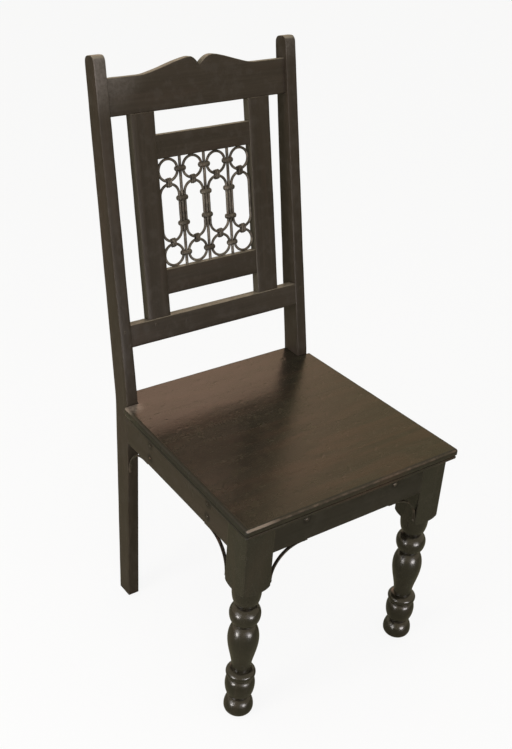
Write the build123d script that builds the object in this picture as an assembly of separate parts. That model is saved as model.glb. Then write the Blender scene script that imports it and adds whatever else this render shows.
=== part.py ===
from build123d import *
from math import atan2, cos, degrees, radians, sin, sqrt
import os

# High-backed dining chair with an iron grille in its back. Millimetres, +Z up, the front towards -Y
# and +X to the right seen from the front. While it is built, Y = 0 is the front face of the rear
# posts at seat level. At the end everything is moved so that the origin is on the floor, at the
# centre of the overall bounding box.

# --- seat -----------------------------------------------------------------
seat_height = 454.0              # floor to the top of the seat
seat_thickness = 21.4
seat_front_half_width = 236.8
seat_ear = 7.8                   # how far the seat stands out past each post
seat_front_reach = 423.9         # from the posts' front face to the front edge
seat_rear_inset = 2.0            # back edge of the seat to the back of the posts
seat_board_count = 5
seat_joint_chamfer = 0.3
seat_nose_radius = 4.6           # rounded upper edge of the moulding
seat_lip_radius = 1.2            # lower edge of the nose
seat_cove_depth = 5.2            # hollow under the nose
seat_cove_height = 6.0
seat_bead_height = 5.2           # small bead at the bottom of the edge
seat_back_edge_radius = 3.0
seat_notch_gap = 0.6             # clearance between the seat and each post

# --- rear posts -----------------------------------------------------------
post_half_spread = 213.1         # chair centre to the outer face of a post
post_width = 23.5
post_depth_knee = 46.0
post_depth_top = 33.0
post_depth_foot = 37.0
post_foot_forward = 11.4         # how far the foot stands in front of the knee
knee_drop = 6.0                  # the rear of the bend lies this far below the seat top
knee_radius = 160.0
back_rake = 11.25                # degrees from the vertical
back_length = 634.5              # seat top to the post tops, along the rake
post_top_radius = 12.0
post_edge_radius = 1.8

# --- back frame, all heights along the rake --------------------------------
lower_rail_height = 43.5
lower_rail_setback = 1.0
lower_rail_thickness = 21.5
crest_drop = 40.0                # post tops to the flat shoulders of the crest rail
crest_height = 65.5              # shoulder to the lower edge
crest_rise = 21.8                # shoulder to the top of the humps
crest_notch_rise = 5.0           # shoulder to the bottom of the notch between the humps
crest_notch_x = 1.5
crest_peak_left_x = -18.0
crest_peak_right_x = 30.0
crest_foot_x = 122.0             # where the long slopes meet the shoulders
crest_inner_pulls = ((0.22, 0.45), (0.6, 1.0))   # control points of a hump's two curves, as shares
crest_outer_pulls = ((0.22, 1.0), (0.76, 0.0))   # of their width and height
crest_setback = 7.0
crest_thickness = 17.0
stile_width = 47.5
stile_setback = 4.0
stile_thickness = 19.0
lower_panel_rail_lift = 39.3     # above the lower rail
lower_panel_rail_height = 47.9
upper_panel_rail_drop = 40.7     # below the crest rail
upper_panel_rail_height = 43.5
panel_rail_setback = 6.0
panel_rail_thickness = 14.0
rail_edge_radius = 1.2

# --- iron grille ----------------------------------------------------------
wire_radius = 2.65               # of the rings and loops
rod_radius = 2.9
ring_radius = 20.2               # to the centre of the wire
column_count = 4
rod_gap = 0.285                  # between a rod and the rings beside it
loop_run = 65.5                  # straight part of the long loops
wire_gap = 0.3                   # between the grille and the wood around it
touch_gap = 0.1                  # half of the space between a ring and its loop
rod_end_depth = 8.0
rod_hole_gap = 0.15
collar_height = 8.5
collar_wall = 3.0
collar_gap = 0.15
knot_width = 13.0
knot_wall = 3.0
upper_collar_drops = (8.1, 4.4, 5.6)      # below the loops' upper arc centres, one for each rod
lower_collar_lifts = (10.6, 16.5, 5.5)    # above the loops' lower arc centres

# --- front legs -------------------------------------------------------------
leg_block = 57.0
leg_inset = 13.15                # seat edges to the outer faces of the legs
leg_below_strap = 1.2            # square block below the ends of the curved straps
leg_block_edge_radius = 1.5
shoulder_height = 11.0           # rounded shoulders under the square block
foot_flat_radius = 19.5
foot_radius, foot_height = 27.3, 13.0            # heights above the floor
ankle_radius, ankle_height = 16.2, 36.5
barrel_radius, barrel_height = 27.6, 67.0
groove_radius, groove_height = 21.6, 84.5
disc_radius, disc_height = 27.3, 94.4
waist_radius, waist_height = 17.4, 103.5
vase_radius, vase_drop = 28.4, 128.3             # drops below the square block
neck_radius, neck_drop = 16.2, 95.5
ball_radius, ball_drop = 28.4, 71.0
collar_radius, collar_drop = 16.0, 52.5
cup_radius, cup_drop = 26.5, 19.0

# --- aprons and seat bearers -------------------------------------------------
apron_height = 60.9
apron_thickness = 19.0
apron_front_setback = 0.6        # behind the front face of the legs
apron_side_setback = 0.3         # inside the outer faces of the leg and the post
apron_rear_inset = 14.0          # behind the front face of the posts
apron_edge_radius = 1.0
bearer_places = (133.9, 335.9)   # front edge of the seat to the middle of each bearer
bearer_width = 26.0
bearer_lift = 3.0                # above the lower edge of the aprons
bearer_tenon = 10.0
bearer_tenon_width = 10.0
bearer_tenon_height = 16.0

# --- joints ---------------------------------------------------------------
tenon_gap = 0.15                 # all round a tenon in its mortise
post_wall = 5.0                  # left outside the tenons in the posts
stile_tenon = 20.0
stile_tenon_width = 34.0
panel_tenon = 16.0
leg_tenon = 20.0
side_tenon_post = 11.0
tenon_shoulder = 7.0             # above and below the tenons of rails and aprons
crest_tenon_shoulder = 11.0
apron_tenon_thickness = 9.0
back_tenon_thickness = 7.0
peg_radius = 3.0
peg_length = 18.0
peg_stand = 0.4
peg_gap = 0.1
peg_post_inset = 13.0            # from the post's inner face
peg_stile_shift = 10.5           # from the stile's centre line, outwards
peg_drop = 10.5                  # below the lower rail's top edge

# --- ironwork under the seat ----------------------------------------------
strap_radius = 58.0              # hollow side of the curved strap
strap_thickness = 2.5
strap_width = 6.5
strap_setback = 0.8              # behind the face of the apron
strap_apron_tab = 13.0
strap_leg_tab = 5.0
strap_side_gap = 0.2             # between a side strap and the leg or the post
nail_head_radius = 2.6
nail_head_height = 1.4
nail_shank_radius = 1.0
nail_length = 12.0
nail_gap = 0.1
dome_radius = 3.6
dome_height = 1.8
dome_half_spacing = 99.5
dome_drop = 16.0                 # below the bottom of the seat
side_nail_spread = 27.0          # between the two nails at each bearer end
side_nail_length = 38.0
screw_radius = 2.0
screw_head_radius = 4.0
screw_head_height = 2.5
screw_into_seat = 11.0
screw_half_spacing = 120.0
screw_pocket = 26.0              # depth of the screw's pocket in the bearer
screw_pocket_gap = 1.0

# --- sizes that follow -----------------------------------------------------
seat_bottom = seat_height - seat_thickness
seat_rear_half_width = post_half_spread + seat_ear
seat_rear_y = post_depth_knee - seat_rear_inset
seat_front_y = -seat_front_reach
apron_bottom = seat_bottom - apron_height
post_inner = post_half_spread - post_width
post_tenon = post_width - post_wall
strap_reach = strap_radius + strap_thickness
leg_outer = seat_front_half_width - leg_inset
leg_inner = leg_outer - leg_block
leg_centre_x = leg_outer - leg_block / 2
leg_front_y = seat_front_y + leg_inset
leg_rear_y = leg_front_y + leg_block
leg_centre_y = leg_front_y + leg_block / 2
leg_block_bottom = apron_bottom - strap_reach - strap_leg_tab - leg_below_strap
bearer_height = apron_height - bearer_lift
bearer_middle_z = seat_bottom - bearer_height / 2
crest_shoulder = back_length - crest_drop
crest_bottom = crest_shoulder - crest_height
upper_panel_rail_top = crest_bottom - upper_panel_rail_drop
upper_panel_rail_bottom = upper_panel_rail_top - upper_panel_rail_height
grille_offset = panel_rail_setback + panel_rail_thickness / 2
ring_outer = ring_radius + wire_radius
column_pitch = 2 * (ring_outer + rod_radius + rod_gap)
stile_inner = (column_count - 1) * column_pitch / 2 + ring_outer + wire_gap
stile_outer = stile_inner + stile_width
stile_middle = stile_inner + stile_width / 2
ring_top_height = upper_panel_rail_bottom - wire_gap - ring_outer
knot_top_height = ring_top_height - ring_outer - touch_gap
loop_top_centre = knot_top_height - touch_gap - ring_outer
loop_bottom_centre = loop_top_centre - loop_run
knot_bottom_height = loop_bottom_centre - ring_outer - touch_gap
ring_bottom_height = knot_bottom_height - touch_gap - ring_outer
lower_panel_rail_top = ring_bottom_height - ring_outer - wire_gap
lower_panel_rail_bottom = lower_panel_rail_top - lower_panel_rail_height
lower_rail_top = lower_panel_rail_bottom - lower_panel_rail_lift
lower_rail_bottom = lower_rail_top - lower_rail_height

back_plane = Plane(origin=(0, 0, seat_height), x_dir=(1, 0, 0),
                   z_dir=(0, -cos(radians(back_rake)), sin(radians(back_rake))))
sides = (("left", -1), ("right", 1))
parts = {}


def block(x_low, x_high, y_low, y_high, z_low, z_high):
    """An upright box between two corners."""
    size = Box(x_high - x_low, y_high - y_low, z_high - z_low)
    return Pos((x_low + x_high) / 2, (y_low + y_high) / 2, (z_low + z_high) / 2) * size


def on_side(shape, side):
    """A shape made for the right-hand side, or its mirror image for the left."""
    return shape if side > 0 else mirror(shape, about=Plane.YZ)


def on_back(shape):
    """Move a shape from back coordinates (X across, Y up the rake, -Z into the back) to the chair."""
    return back_plane.location * shape


def back_board(x_low, x_high, low, high, setback, thickness):
    """A board in the back with its long edges eased."""
    board = block(x_low, x_high, low, high, -setback - thickness, -setback)
    along = Axis.X if x_high - x_low > high - low else Axis.Y
    return on_back(fillet(board.edges().filter_by(along), rail_edge_radius))


def back_tenon(x_low, x_high, low, high, middle, gap):
    """A tenon in the back, or with a gap its mortise. middle is its depth below the posts' front."""
    half = back_tenon_thickness / 2 + gap
    return on_back(block(x_low - gap, x_high + gap, low - gap, high + gap, -middle - half, -middle + half))


def join(node, mortised, tenon):
    """Add a tenon to one node and cut its mortise in another. tenon gives the shape for a clearance."""
    parts[node] += tenon(0)
    parts[mortised] -= tenon(tenon_gap)


def drive(fastener, hole, nodes):
    """Cut the hole of a nail, screw or peg in the nodes that it holds together."""
    for node in nodes:
        parts[node] -= hole
    return fastener


def post_front(z):
    """The Y of the posts' front face below the seat."""
    return -post_foot_forward * (seat_height - z) / seat_height


# --- rear posts ------------------------------------------------------------
def rear_post():
    lean = radians(back_rake)
    knee_front = (0, seat_height)
    knee_rear = (post_depth_knee, seat_height - knee_drop)
    top = (back_length * sin(lean), seat_height + back_length * cos(lean))
    top_rear = (top[0] + post_depth_top * cos(lean), top[1] - post_depth_top * sin(lean))
    face = make_face(Polyline((-post_foot_forward, 0), knee_front, top, top_rear, knee_rear,
                              (post_depth_foot - post_foot_forward, 0), close=True))
    for corner, radius in ((knee_front, knee_radius), (knee_rear, knee_radius),
                           (top, post_top_radius), (top_rear, post_top_radius)):
        face = fillet(face.vertices().sort_by_distance((corner[0], corner[1], 0))[0], radius)
    post = extrude(Plane.YZ * face, post_width)
    along_post = [edge for edge in post.edges() if abs(edge.position_at(0).X - edge.position_at(1).X) < 1]
    return Pos(post_inner, 0, 0) * fillet(along_post, post_edge_radius)


for name, side in sides:
    parts["rear_post_" + name] = on_side(rear_post(), side)


# --- wooden back -----------------------------------------------------------
def hump(side, peak_x):
    """Half of the crest's upper edge, from the notch over one hump to the flat shoulder."""
    notch = (crest_notch_x, crest_shoulder + crest_notch_rise)
    peak = (peak_x, crest_shoulder + crest_rise)
    foot = (side * crest_foot_x, crest_shoulder)

    def curve(start, end, low, pulls):
        rise = crest_shoulder + crest_rise - low
        return Bezier(start, *[(start[0] + across * (end[0] - start[0]), low + up * rise)
                               for across, up in pulls], end)

    return [curve(notch, peak, notch[1], crest_inner_pulls), curve(peak, foot, foot[1], crest_outer_pulls)]


def crest_rail():
    ends = Polyline((crest_foot_x, crest_shoulder), (post_inner, crest_shoulder),
                    (post_inner, crest_bottom),
                    (-post_inner, crest_bottom), (-post_inner, crest_shoulder),
                    (-crest_foot_x, crest_shoulder))
    outline = Curve() + hump(1, crest_peak_right_x) + [ends] + hump(-1, crest_peak_left_x)
    board = extrude(make_face(outline), crest_thickness)
    return on_back(Pos(0, 0, -crest_setback - crest_thickness) * board)


parts["crest_rail"] = crest_rail()
parts["lower_back_rail"] = back_board(-post_inner, post_inner, lower_rail_bottom, lower_rail_top,
                                      lower_rail_setback, lower_rail_thickness)
parts["panel_rail_upper"] = back_board(-stile_inner, stile_inner, upper_panel_rail_bottom,
                                       upper_panel_rail_top, panel_rail_setback, panel_rail_thickness)
parts["panel_rail_lower"] = back_board(-stile_inner, stile_inner, lower_panel_rail_bottom,
                                       lower_panel_rail_top, panel_rail_setback, panel_rail_thickness)

crest_middle = crest_setback + crest_thickness / 2
lower_rail_middle = lower_rail_setback + lower_rail_thickness / 2
stile_middle_depth = stile_setback + stile_thickness / 2

for name, side in sides:
    stile = "back_stile_" + name
    post = "rear_post_" + name
    parts[stile] = on_side(back_board(stile_inner, stile_outer, lower_rail_top, crest_bottom,
                                      stile_setback, stile_thickness), side)
    half = stile_tenon_width / 2
    for board, low, high in (("crest_rail", crest_bottom, crest_bottom + stile_tenon),
                             ("lower_back_rail", lower_rail_top - stile_tenon, lower_rail_top)):
        join(stile, board, lambda gap: on_side(back_tenon(
            stile_middle - half, stile_middle + half, low, high, stile_middle_depth, gap), side))
    for board, low, high, shoulder, middle in (
            ("crest_rail", crest_bottom, crest_shoulder, crest_tenon_shoulder, crest_middle),
            ("lower_back_rail", lower_rail_bottom, lower_rail_top, tenon_shoulder, lower_rail_middle)):
        join(board, post, lambda gap: on_side(back_tenon(
            post_inner, post_inner + post_tenon, low + shoulder, high - shoulder, middle, gap), side))
    for board, low, high in (("panel_rail_upper", upper_panel_rail_bottom, upper_panel_rail_top),
                             ("panel_rail_lower", lower_panel_rail_bottom, lower_panel_rail_top)):
        join(board, stile, lambda gap: on_side(back_tenon(
            stile_inner, stile_inner + panel_tenon, low + tenon_shoulder, high - tenon_shoulder,
            grille_offset, gap), side))


# --- pegs through the joints of the lower rail ------------------------------
def peg(x, front, gap):
    """A round peg into the back. front is the depth of the face that it stands out of."""
    length = peg_length + gap
    middle = front - peg_stand + length / 2
    return on_back(Pos(x, lower_rail_top - peg_drop, -middle) * Cylinder(peg_radius + gap, length))


pegs = []
for name, side in sides:
    for x, front, nodes in (
            (post_inner + peg_post_inset, 0, ("rear_post_" + name, "lower_back_rail")),
            (stile_middle + peg_stile_shift, lower_rail_setback,
             ("lower_back_rail", "back_stile_" + name))):
        pegs.append(drive(peg(side * x, front, 0), peg(side * x, front, peg_gap), nodes))
parts["draw_pegs"] = Part() + pegs


# --- iron grille -----------------------------------------------------------
def rod(x, low, high, radius):
    """A round bar that runs up the rake in the middle of the grille."""
    upright = Rot(90, 0, 0) * Cylinder(radius, high - low)
    return on_back(Pos(x, (low + high) / 2, -grille_offset) * upright)


def loop(x):
    """A long closed loop of wire with half-round ends."""
    half_ring = Torus(ring_radius, wire_radius) & block(-ring_outer, ring_outer, 0, ring_outer,
                                                        -wire_radius, wire_radius)
    top = Pos(x, loop_top_centre, 0) * half_ring
    bottom = Pos(x, loop_bottom_centre, 0) * Rot(0, 0, 180) * half_ring
    straight = Rot(90, 0, 0) * Cylinder(wire_radius, loop_top_centre - loop_bottom_centre)
    middle = (loop_top_centre + loop_bottom_centre) / 2
    runs = [Pos(x + place, middle, 0) * straight for place in (-ring_radius, ring_radius)]
    return on_back(Pos(0, 0, -grille_offset) * (Part() + [top, bottom] + runs))


def band(inner_half_length, wall, width, plane):
    """A slot-shaped iron band around bars that lie side by side. Its hole runs along the plane's normal."""
    inner_half = max(wire_radius, rod_radius) + collar_gap
    outline = SlotOverall(2 * (inner_half_length + wall), 2 * (inner_half + wall))
    outline -= SlotOverall(2 * inner_half_length, 2 * inner_half)
    return extrude(plane * outline, width / 2, both=True)


def collar(x, height):
    """A collar that binds a rod to the wire on each side of it."""
    spread = column_pitch / 2 - sqrt(ring_radius ** 2 - (collar_height / 2) ** 2)
    ring = band(spread + wire_radius + collar_gap, collar_wall, collar_height, Plane.XZ)
    return on_back(Pos(x, height, -grille_offset) * ring)


def knot(x, height):
    """A band that binds a ring to the loop below or above it."""
    curve = ring_radius - sqrt(ring_radius ** 2 - (knot_width / 2) ** 2)
    ring = band(touch_gap + 2 * wire_radius + curve + collar_gap, knot_wall, knot_width, Plane.YZ)
    return on_back(Pos(x, height, -grille_offset) * ring)


column_xs = [(place - (column_count - 1) / 2) * column_pitch for place in range(column_count)]
rod_xs = [x + column_pitch / 2 for x in column_xs[:-1]]

for number, x in enumerate(rod_xs, 1):
    low = lower_panel_rail_top - rod_end_depth
    high = upper_panel_rail_bottom + rod_end_depth
    hole = rod(x, low - rod_hole_gap, high + rod_hole_gap, rod_radius + rod_hole_gap)
    parts["grille_rod_%d" % number] = drive(rod(x, low, high, rod_radius), hole,
                                            ("panel_rail_upper", "panel_rail_lower"))

for number, x in enumerate(column_xs, 1):
    parts["grille_loop_%d" % number] = loop(x)
    for place, height in (("top", ring_top_height), ("bottom", ring_bottom_height)):
        ring = Pos(x, height, -grille_offset) * Torus(ring_radius, wire_radius)
        parts["grille_ring_%s_%d" % (place, number)] = on_back(ring)

collars = []
for x, drop, lift in zip(rod_xs, upper_collar_drops, lower_collar_lifts):
    for height in (ring_top_height, loop_top_centre - drop, loop_bottom_centre + lift, ring_bottom_height):
        collars.append(collar(x, height))
parts["grille_collars"] = Part() + collars
parts["grille_knots"] = Part() + [knot(x, height) for x in column_xs
                                  for height in (knot_top_height, knot_bottom_height)]


# --- front legs ------------------------------------------------------------
def turned_part():
    """Everything below the square block, as a solid of revolution with the block's rounded shoulders."""
    waists = [(foot_flat_radius, 0), (ankle_radius, ankle_height), (groove_radius, groove_height),
              (waist_radius, waist_height), (neck_radius, leg_block_bottom - neck_drop),
              (collar_radius, leg_block_bottom - collar_drop)]
    bellies = [(foot_radius, foot_height), (barrel_radius, barrel_height), (disc_radius, disc_height),
               (vase_radius, leg_block_bottom - vase_drop), (ball_radius, leg_block_bottom - ball_drop),
               (cup_radius, leg_block_bottom - cup_drop)]
    curves = []
    for index, (waist, belly) in enumerate(zip(waists, bellies)):
        swell = (0.1, 1) if waist[0] == waist_radius else (1, 0.8)
        curves.append(Spline(waist, belly, tangents=[swell, (0, 1)]))
        if index + 1 < len(waists):
            curves.append(Spline(belly, waists[index + 1], tangents=[(0, 1), (-1, 0.8)]))
    shoulder = leg_block_bottom - shoulder_height
    corner = leg_block / sqrt(2)
    rim = Line(bellies[-1], (cup_radius, shoulder))
    swell = (cup_radius + 0.62 * (corner - cup_radius), shoulder + 0.33 * shoulder_height)
    shoulders = ThreePointArc((cup_radius, shoulder), swell, (corner, leg_block_bottom))
    core = Polyline((corner, leg_block_bottom), (corner, seat_bottom), (0, seat_bottom), (0, 0), waists[0])
    return revolve(Plane.XZ * make_face(Curve() + curves + [rim, shoulders, core]), Axis.Z)


def front_leg():
    square = block(-leg_block / 2, leg_block / 2, -leg_block / 2, leg_block / 2, 0, seat_bottom)
    square = fillet(square.edges().filter_by(Axis.Z), leg_block_edge_radius)
    return Pos(leg_centre_x, leg_centre_y, 0) * (turned_part() & square)


for name, side in sides:
    parts["front_leg_" + name] = on_side(front_leg(), side)


# --- aprons ----------------------------------------------------------------
side_slant = atan2(leg_outer - post_half_spread, -leg_rear_y)     # of the side aprons, seen from above


def side_face(y):
    """The X of the outer face of the right-hand apron."""
    return post_half_spread - apron_side_setback - y * (leg_outer - post_half_spread) / -leg_rear_y


def apron(x_low, x_high, y_low, y_high):
    board = block(x_low, x_high, y_low, y_high, apron_bottom, seat_bottom)
    along = Axis.X if x_high - x_low > y_high - y_low else Axis.Y
    lower = board.edges().filter_by(along).group_by(Axis.Z)[0]
    return fillet(lower, apron_edge_radius)


def side_apron():
    """The right-hand apron, cut to the rear face of the leg and to the leaning front of the post."""
    overhang = 30.0
    board = Rot(0, 0, degrees(side_slant)) * apron(-apron_thickness, 0, leg_rear_y - overhang, overhang)
    board = Pos(side_face(0), 0, 0) * board
    room = make_face(Polyline((leg_rear_y, 0), (post_front(0), 0), (post_front(seat_height), seat_height),
                              (leg_rear_y, seat_height), close=True))
    return board & extrude(Plane.YZ * room, leg_outer + overhang)


apron_front_y = leg_front_y + apron_front_setback
apron_back_y = apron_rear_inset + apron_thickness
apron_tenon_low = apron_bottom + tenon_shoulder
apron_tenon_high = seat_bottom - tenon_shoulder


def apron_tenon(x_low, x_high, y_low, y_high, gap):
    return block(x_low - gap, x_high + gap, y_low - gap, y_high + gap,
                 apron_tenon_low - gap, apron_tenon_high + gap)


parts["apron_front"] = apron(-leg_inner, leg_inner, apron_front_y, apron_front_y + apron_thickness)
parts["apron_rear"] = apron(-post_inner, post_inner, apron_rear_inset, apron_back_y)
front_middle = apron_front_y + apron_thickness / 2
rear_middle = apron_rear_inset + apron_thickness / 2
half = apron_tenon_thickness / 2
for name, side in sides:
    board = "apron_" + name
    parts[board] = on_side(side_apron(), side)
    join("apron_front", "front_leg_" + name, lambda gap: on_side(apron_tenon(
        leg_inner, leg_inner + leg_tenon, front_middle - half, front_middle + half, gap), side))
    join("apron_rear", "rear_post_" + name, lambda gap: on_side(apron_tenon(
        post_inner, post_inner + post_tenon, rear_middle - half, rear_middle + half, gap), side))
    into_leg = side_face(leg_rear_y) - apron_thickness / 2
    join(board, "front_leg_" + name, lambda gap: on_side(apron_tenon(
        into_leg - half, into_leg + half, leg_rear_y - leg_tenon, leg_rear_y, gap), side))
    into_post = side_face(0) - apron_thickness / 2
    shoulder_y = post_front(apron_bottom)
    join(board, "rear_post_" + name, lambda gap: on_side(apron_tenon(
        into_post - half, into_post + half, shoulder_y, shoulder_y + side_tenon_post, gap), side))


# --- seat bearers, stub-tenoned and nailed through the side aprons ----------
def bearer(y):
    inner = [side_face(y + place) - apron_thickness / cos(side_slant)
             for place in (-bearer_width / 2, bearer_width / 2)]
    front, back = y - bearer_width / 2, y + bearer_width / 2
    outline = Polyline((-inner[0], front), (inner[0], front), (inner[1], back), (-inner[1], back),
                       close=True)
    return Pos(0, 0, seat_bottom - bearer_height) * extrude(make_face(outline), bearer_height)


def bearer_stub(y, gap):
    face = side_face(y) - apron_thickness
    half_width, half_height = bearer_tenon_width / 2 + gap, bearer_tenon_height / 2 + gap
    return block(face - bearer_width / 2, face + bearer_tenon + gap, y - half_width, y + half_width,
                 bearer_middle_z - half_height, bearer_middle_z + half_height)


bearer_ys = {}
for name, place in zip(("front", "rear"), bearer_places):
    bearer_ys[name] = seat_front_y + place
    parts["seat_bearer_" + name] = bearer(bearer_ys[name])
    for side_name, side in sides:
        join("seat_bearer_" + name, "apron_" + side_name,
             lambda gap: on_side(bearer_stub(bearer_ys[name], gap), side))


# --- seat boards -----------------------------------------------------------
beyond_seat = 2 * (seat_front_half_width + seat_front_reach)     # clear of the seat on every side
seat_slant = atan2(seat_front_half_width - seat_rear_half_width, seat_front_reach)


def moulded_edge():
    """Section of the seat with its outer edge at X = 0: rounded nose, cove and bead. Y is the height."""
    nose_bottom = seat_bottom + seat_bead_height + seat_cove_height
    nose = min(seat_nose_radius, 0.45 * (seat_height - nose_bottom))
    top = Line((-beyond_seat, seat_height), (-nose, seat_height))
    round_edge = CenterArc((-nose, seat_height - nose), nose, 90, -90)
    front = Line((0, seat_height - nose), (0, nose_bottom + seat_lip_radius))
    lip = CenterArc((-seat_lip_radius, nose_bottom + seat_lip_radius), seat_lip_radius, 0, -90)
    cove_foot = (-seat_cove_depth, seat_bottom + seat_bead_height)
    cove = Spline((-seat_lip_radius, nose_bottom), cove_foot, tangents=[(-1, 0), (0, -1)])
    half_bead = seat_bead_height / 2
    bead = ThreePointArc(cove_foot, (-seat_cove_depth + half_bead, seat_bottom + half_bead),
                         (-seat_cove_depth, seat_bottom))
    bottom = Polyline((-seat_cove_depth, seat_bottom), (-beyond_seat, seat_bottom),
                      (-beyond_seat, seat_height))
    return make_face(Curve() + [top, round_edge, front, lip, cove, bead, bottom])


def moulded_slab(turn, x, y):
    """A long slab whose moulded edge faces +X, turned about Z and moved."""
    slab = extrude(Plane.XZ * moulded_edge(), beyond_seat, both=True)
    return Pos(x, y, 0) * Rot(0, 0, turn) * slab


def bearer_screws(gap):
    """The screws up through the bearers, or with a gap their holes with the pockets for the heads."""
    screws = []
    low = seat_bottom - bearer_height + screw_pocket
    length = seat_bottom + screw_into_seat - low
    for y in bearer_ys.values():
        for x in (-screw_half_spacing, screw_half_spacing):
            shank = Pos(x, y, low + (length + gap) / 2) * Cylinder(screw_radius + gap, length + gap)
            head = Pos(x, y, low - screw_head_height / 2) * Cylinder(screw_head_radius, screw_head_height)
            if gap:
                head = Pos(x, y, low - screw_pocket / 2) * Cylinder(screw_head_radius + screw_pocket_gap,
                                                                    screw_pocket)
            screws.append(shank + head)
    return screws


def seat():
    right = moulded_slab(degrees(seat_slant), seat_rear_half_width, 0)
    board = moulded_slab(-90, 0, seat_front_y) & right & mirror(right, about=Plane.YZ)
    notch_y = post_front(seat_bottom) - seat_notch_gap
    tongue = post_inner - seat_notch_gap
    for side in (-1, 1):
        board -= on_side(block(tongue, beyond_seat, notch_y, beyond_seat, 0, 2 * seat_height), side)
    envelope = block(-beyond_seat, beyond_seat, -beyond_seat, seat_rear_y, seat_bottom, seat_height)
    back_edges = envelope.edges().filter_by(Axis.X).group_by(Axis.Y)[-1]
    return board & fillet(back_edges, seat_back_edge_radius)


board_depth = (seat_rear_y - seat_front_y) / seat_board_count
whole_seat = seat()
whole_seat -= bearer_screws(nail_gap)
groove_side = seat_joint_chamfer * sqrt(2)
for number in range(1, seat_board_count):
    joint_y = seat_front_y + number * board_depth
    groove = Rot(45, 0, 0) * Box(2 * beyond_seat, groove_side, groove_side)
    whole_seat -= Pos(0, joint_y, seat_height) * groove
for number in range(seat_board_count):
    near = seat_front_y + number * board_depth
    parts["seat_board_%d" % (number + 1)] = whole_seat & block(
        -beyond_seat, beyond_seat, near, near + board_depth, 0, 2 * seat_height)

for name in bearer_ys:
    parts["seat_bearer_" + name] -= bearer_screws(nail_gap)
parts["seat_screws"] = Part() + bearer_screws(0)


# --- curved straps under the aprons ----------------------------------------
def nail(length, gap):
    """A flat-headed nail that points up. Z = 0 is the face under its head, and a gap makes its hole."""
    shank = Pos(0, 0, (length + gap) / 2) * Cylinder(nail_shank_radius + gap, length + gap)
    head = Pos(0, 0, -nail_head_height / 2) * Cylinder(nail_head_radius, nail_head_height)
    return shank if gap else shank + head


def strap():
    """A strap in the corner of a leg (X = 0) and an apron's lower edge (Z = 0), outer side at Y = 0."""
    ring = Cylinder(strap_reach, strap_width) - Cylinder(strap_radius, strap_width)
    quarter = Rot(90, 0, 0) * ring & block(-strap_reach, 0, -strap_width, strap_width, 0, strap_reach)
    quarter = Pos(strap_reach, strap_width / 2, -strap_reach) * quarter
    top = block(strap_reach, strap_reach + strap_apron_tab, 0, strap_width, -strap_thickness, 0)
    foot = block(0, strap_thickness, 0, strap_width, -strap_reach - strap_leg_tab, -strap_reach)
    return quarter + top + foot


def strap_nails(gap):
    up = Pos(strap_reach + strap_apron_tab / 2, strap_width / 2, -strap_thickness) * nail(nail_length, gap)
    across = Pos(strap_thickness, strap_width / 2, -strap_reach - strap_leg_tab / 2)
    return [up, across * Rot(0, -90, 0) * nail(nail_length, gap)]


slant = degrees(side_slant)
along_side = Rot(0, 0, 90 + slant)
strap_end_z = apron_bottom - strap_reach - strap_leg_tab
near_leg_y = leg_rear_y + strap_side_gap
near_post_y = post_front(strap_end_z) - strap_side_gap

# right-hand straps: name, place, whether they are made left-handed first, the apron and the leg
strap_places = (
    ("front_%s", Pos(leg_inner, apron_front_y + strap_setback, apron_bottom), True,
     "apron_front", "front_leg_%s"),
    ("%s_front", Pos(side_face(near_leg_y) - strap_setback, near_leg_y, apron_bottom) * along_side, False,
     "apron_%s", "front_leg_%s"),
    ("%s_rear", Pos(side_face(near_post_y) - strap_setback, near_post_y, apron_bottom) * along_side, True,
     "apron_%s", "rear_post_%s"),
    ("rear_%s", Pos(post_inner, apron_back_y - strap_setback, apron_bottom) * Rot(0, 0, 180),
     False, "apron_rear", "rear_post_%s"),
)

bracket_nails = []
for name, side in sides:
    for pattern, place, flipped, board, leg in strap_places:
        hand = -1 if flipped else 1
        node = "bracket_" + pattern % name
        parts[node] = on_side(place * on_side(strap(), hand), side)
        wood = [holder % name if "%s" in holder else holder for holder in (board, leg)]
        for one_nail, hole, holder in zip(strap_nails(0), strap_nails(nail_gap), wood):
            placed = [on_side(place * on_side(shape, hand), side) for shape in (one_nail, hole)]
            bracket_nails.append(drive(placed[0], placed[1], (node, holder)))
parts["bracket_nails"] = Part() + bracket_nails


# --- nails in the aprons ----------------------------------------------------
def dome_nail(gap):
    """A nail with a domed head that points along +Y. Y = 0 is the face under its head."""
    sphere_radius = (dome_radius ** 2 + dome_height ** 2) / (2 * dome_height)
    shank = Pos(0, 0, (nail_length + gap) / 2) * Cylinder(nail_shank_radius + gap, nail_length + gap)
    ball = Pos(0, 0, sphere_radius - dome_height) * Sphere(sphere_radius)
    dome = ball & Pos(0, 0, -dome_height / 2) * Cylinder(dome_radius, dome_height)
    return Rot(-90, 0, 0) * (shank if gap else shank + dome)


apron_nails = []
for name, side in sides:
    at = Pos(side * dome_half_spacing, apron_front_y, seat_bottom - dome_drop)
    apron_nails.append(drive(at * dome_nail(0), at * dome_nail(nail_gap), ("apron_front",)))
    for bearer_name, y in bearer_ys.items():
        for z in (bearer_middle_z - side_nail_spread / 2, bearer_middle_z + side_nail_spread / 2):
            at = Pos(side_face(y), y, z) * Rot(0, 0, slant) * Rot(0, -90, 0)
            apron_nails.append(drive(on_side(at * nail(side_nail_length, 0), side),
                                     on_side(at * nail(side_nail_length, nail_gap), side),
                                     ("apron_" + name, "seat_bearer_" + bearer_name)))
parts["apron_nails"] = Part() + apron_nails


# --- export ----------------------------------------------------------------
rearmost = parts["rear_post_left"].bounding_box().max.Y
centred = Pos(0, -(rearmost + seat_front_y) / 2, 0)
os.makedirs("parts", exist_ok=True)
for node, shape in parts.items():
    export_step(centred * shape, "parts/" + node + ".step")
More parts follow.
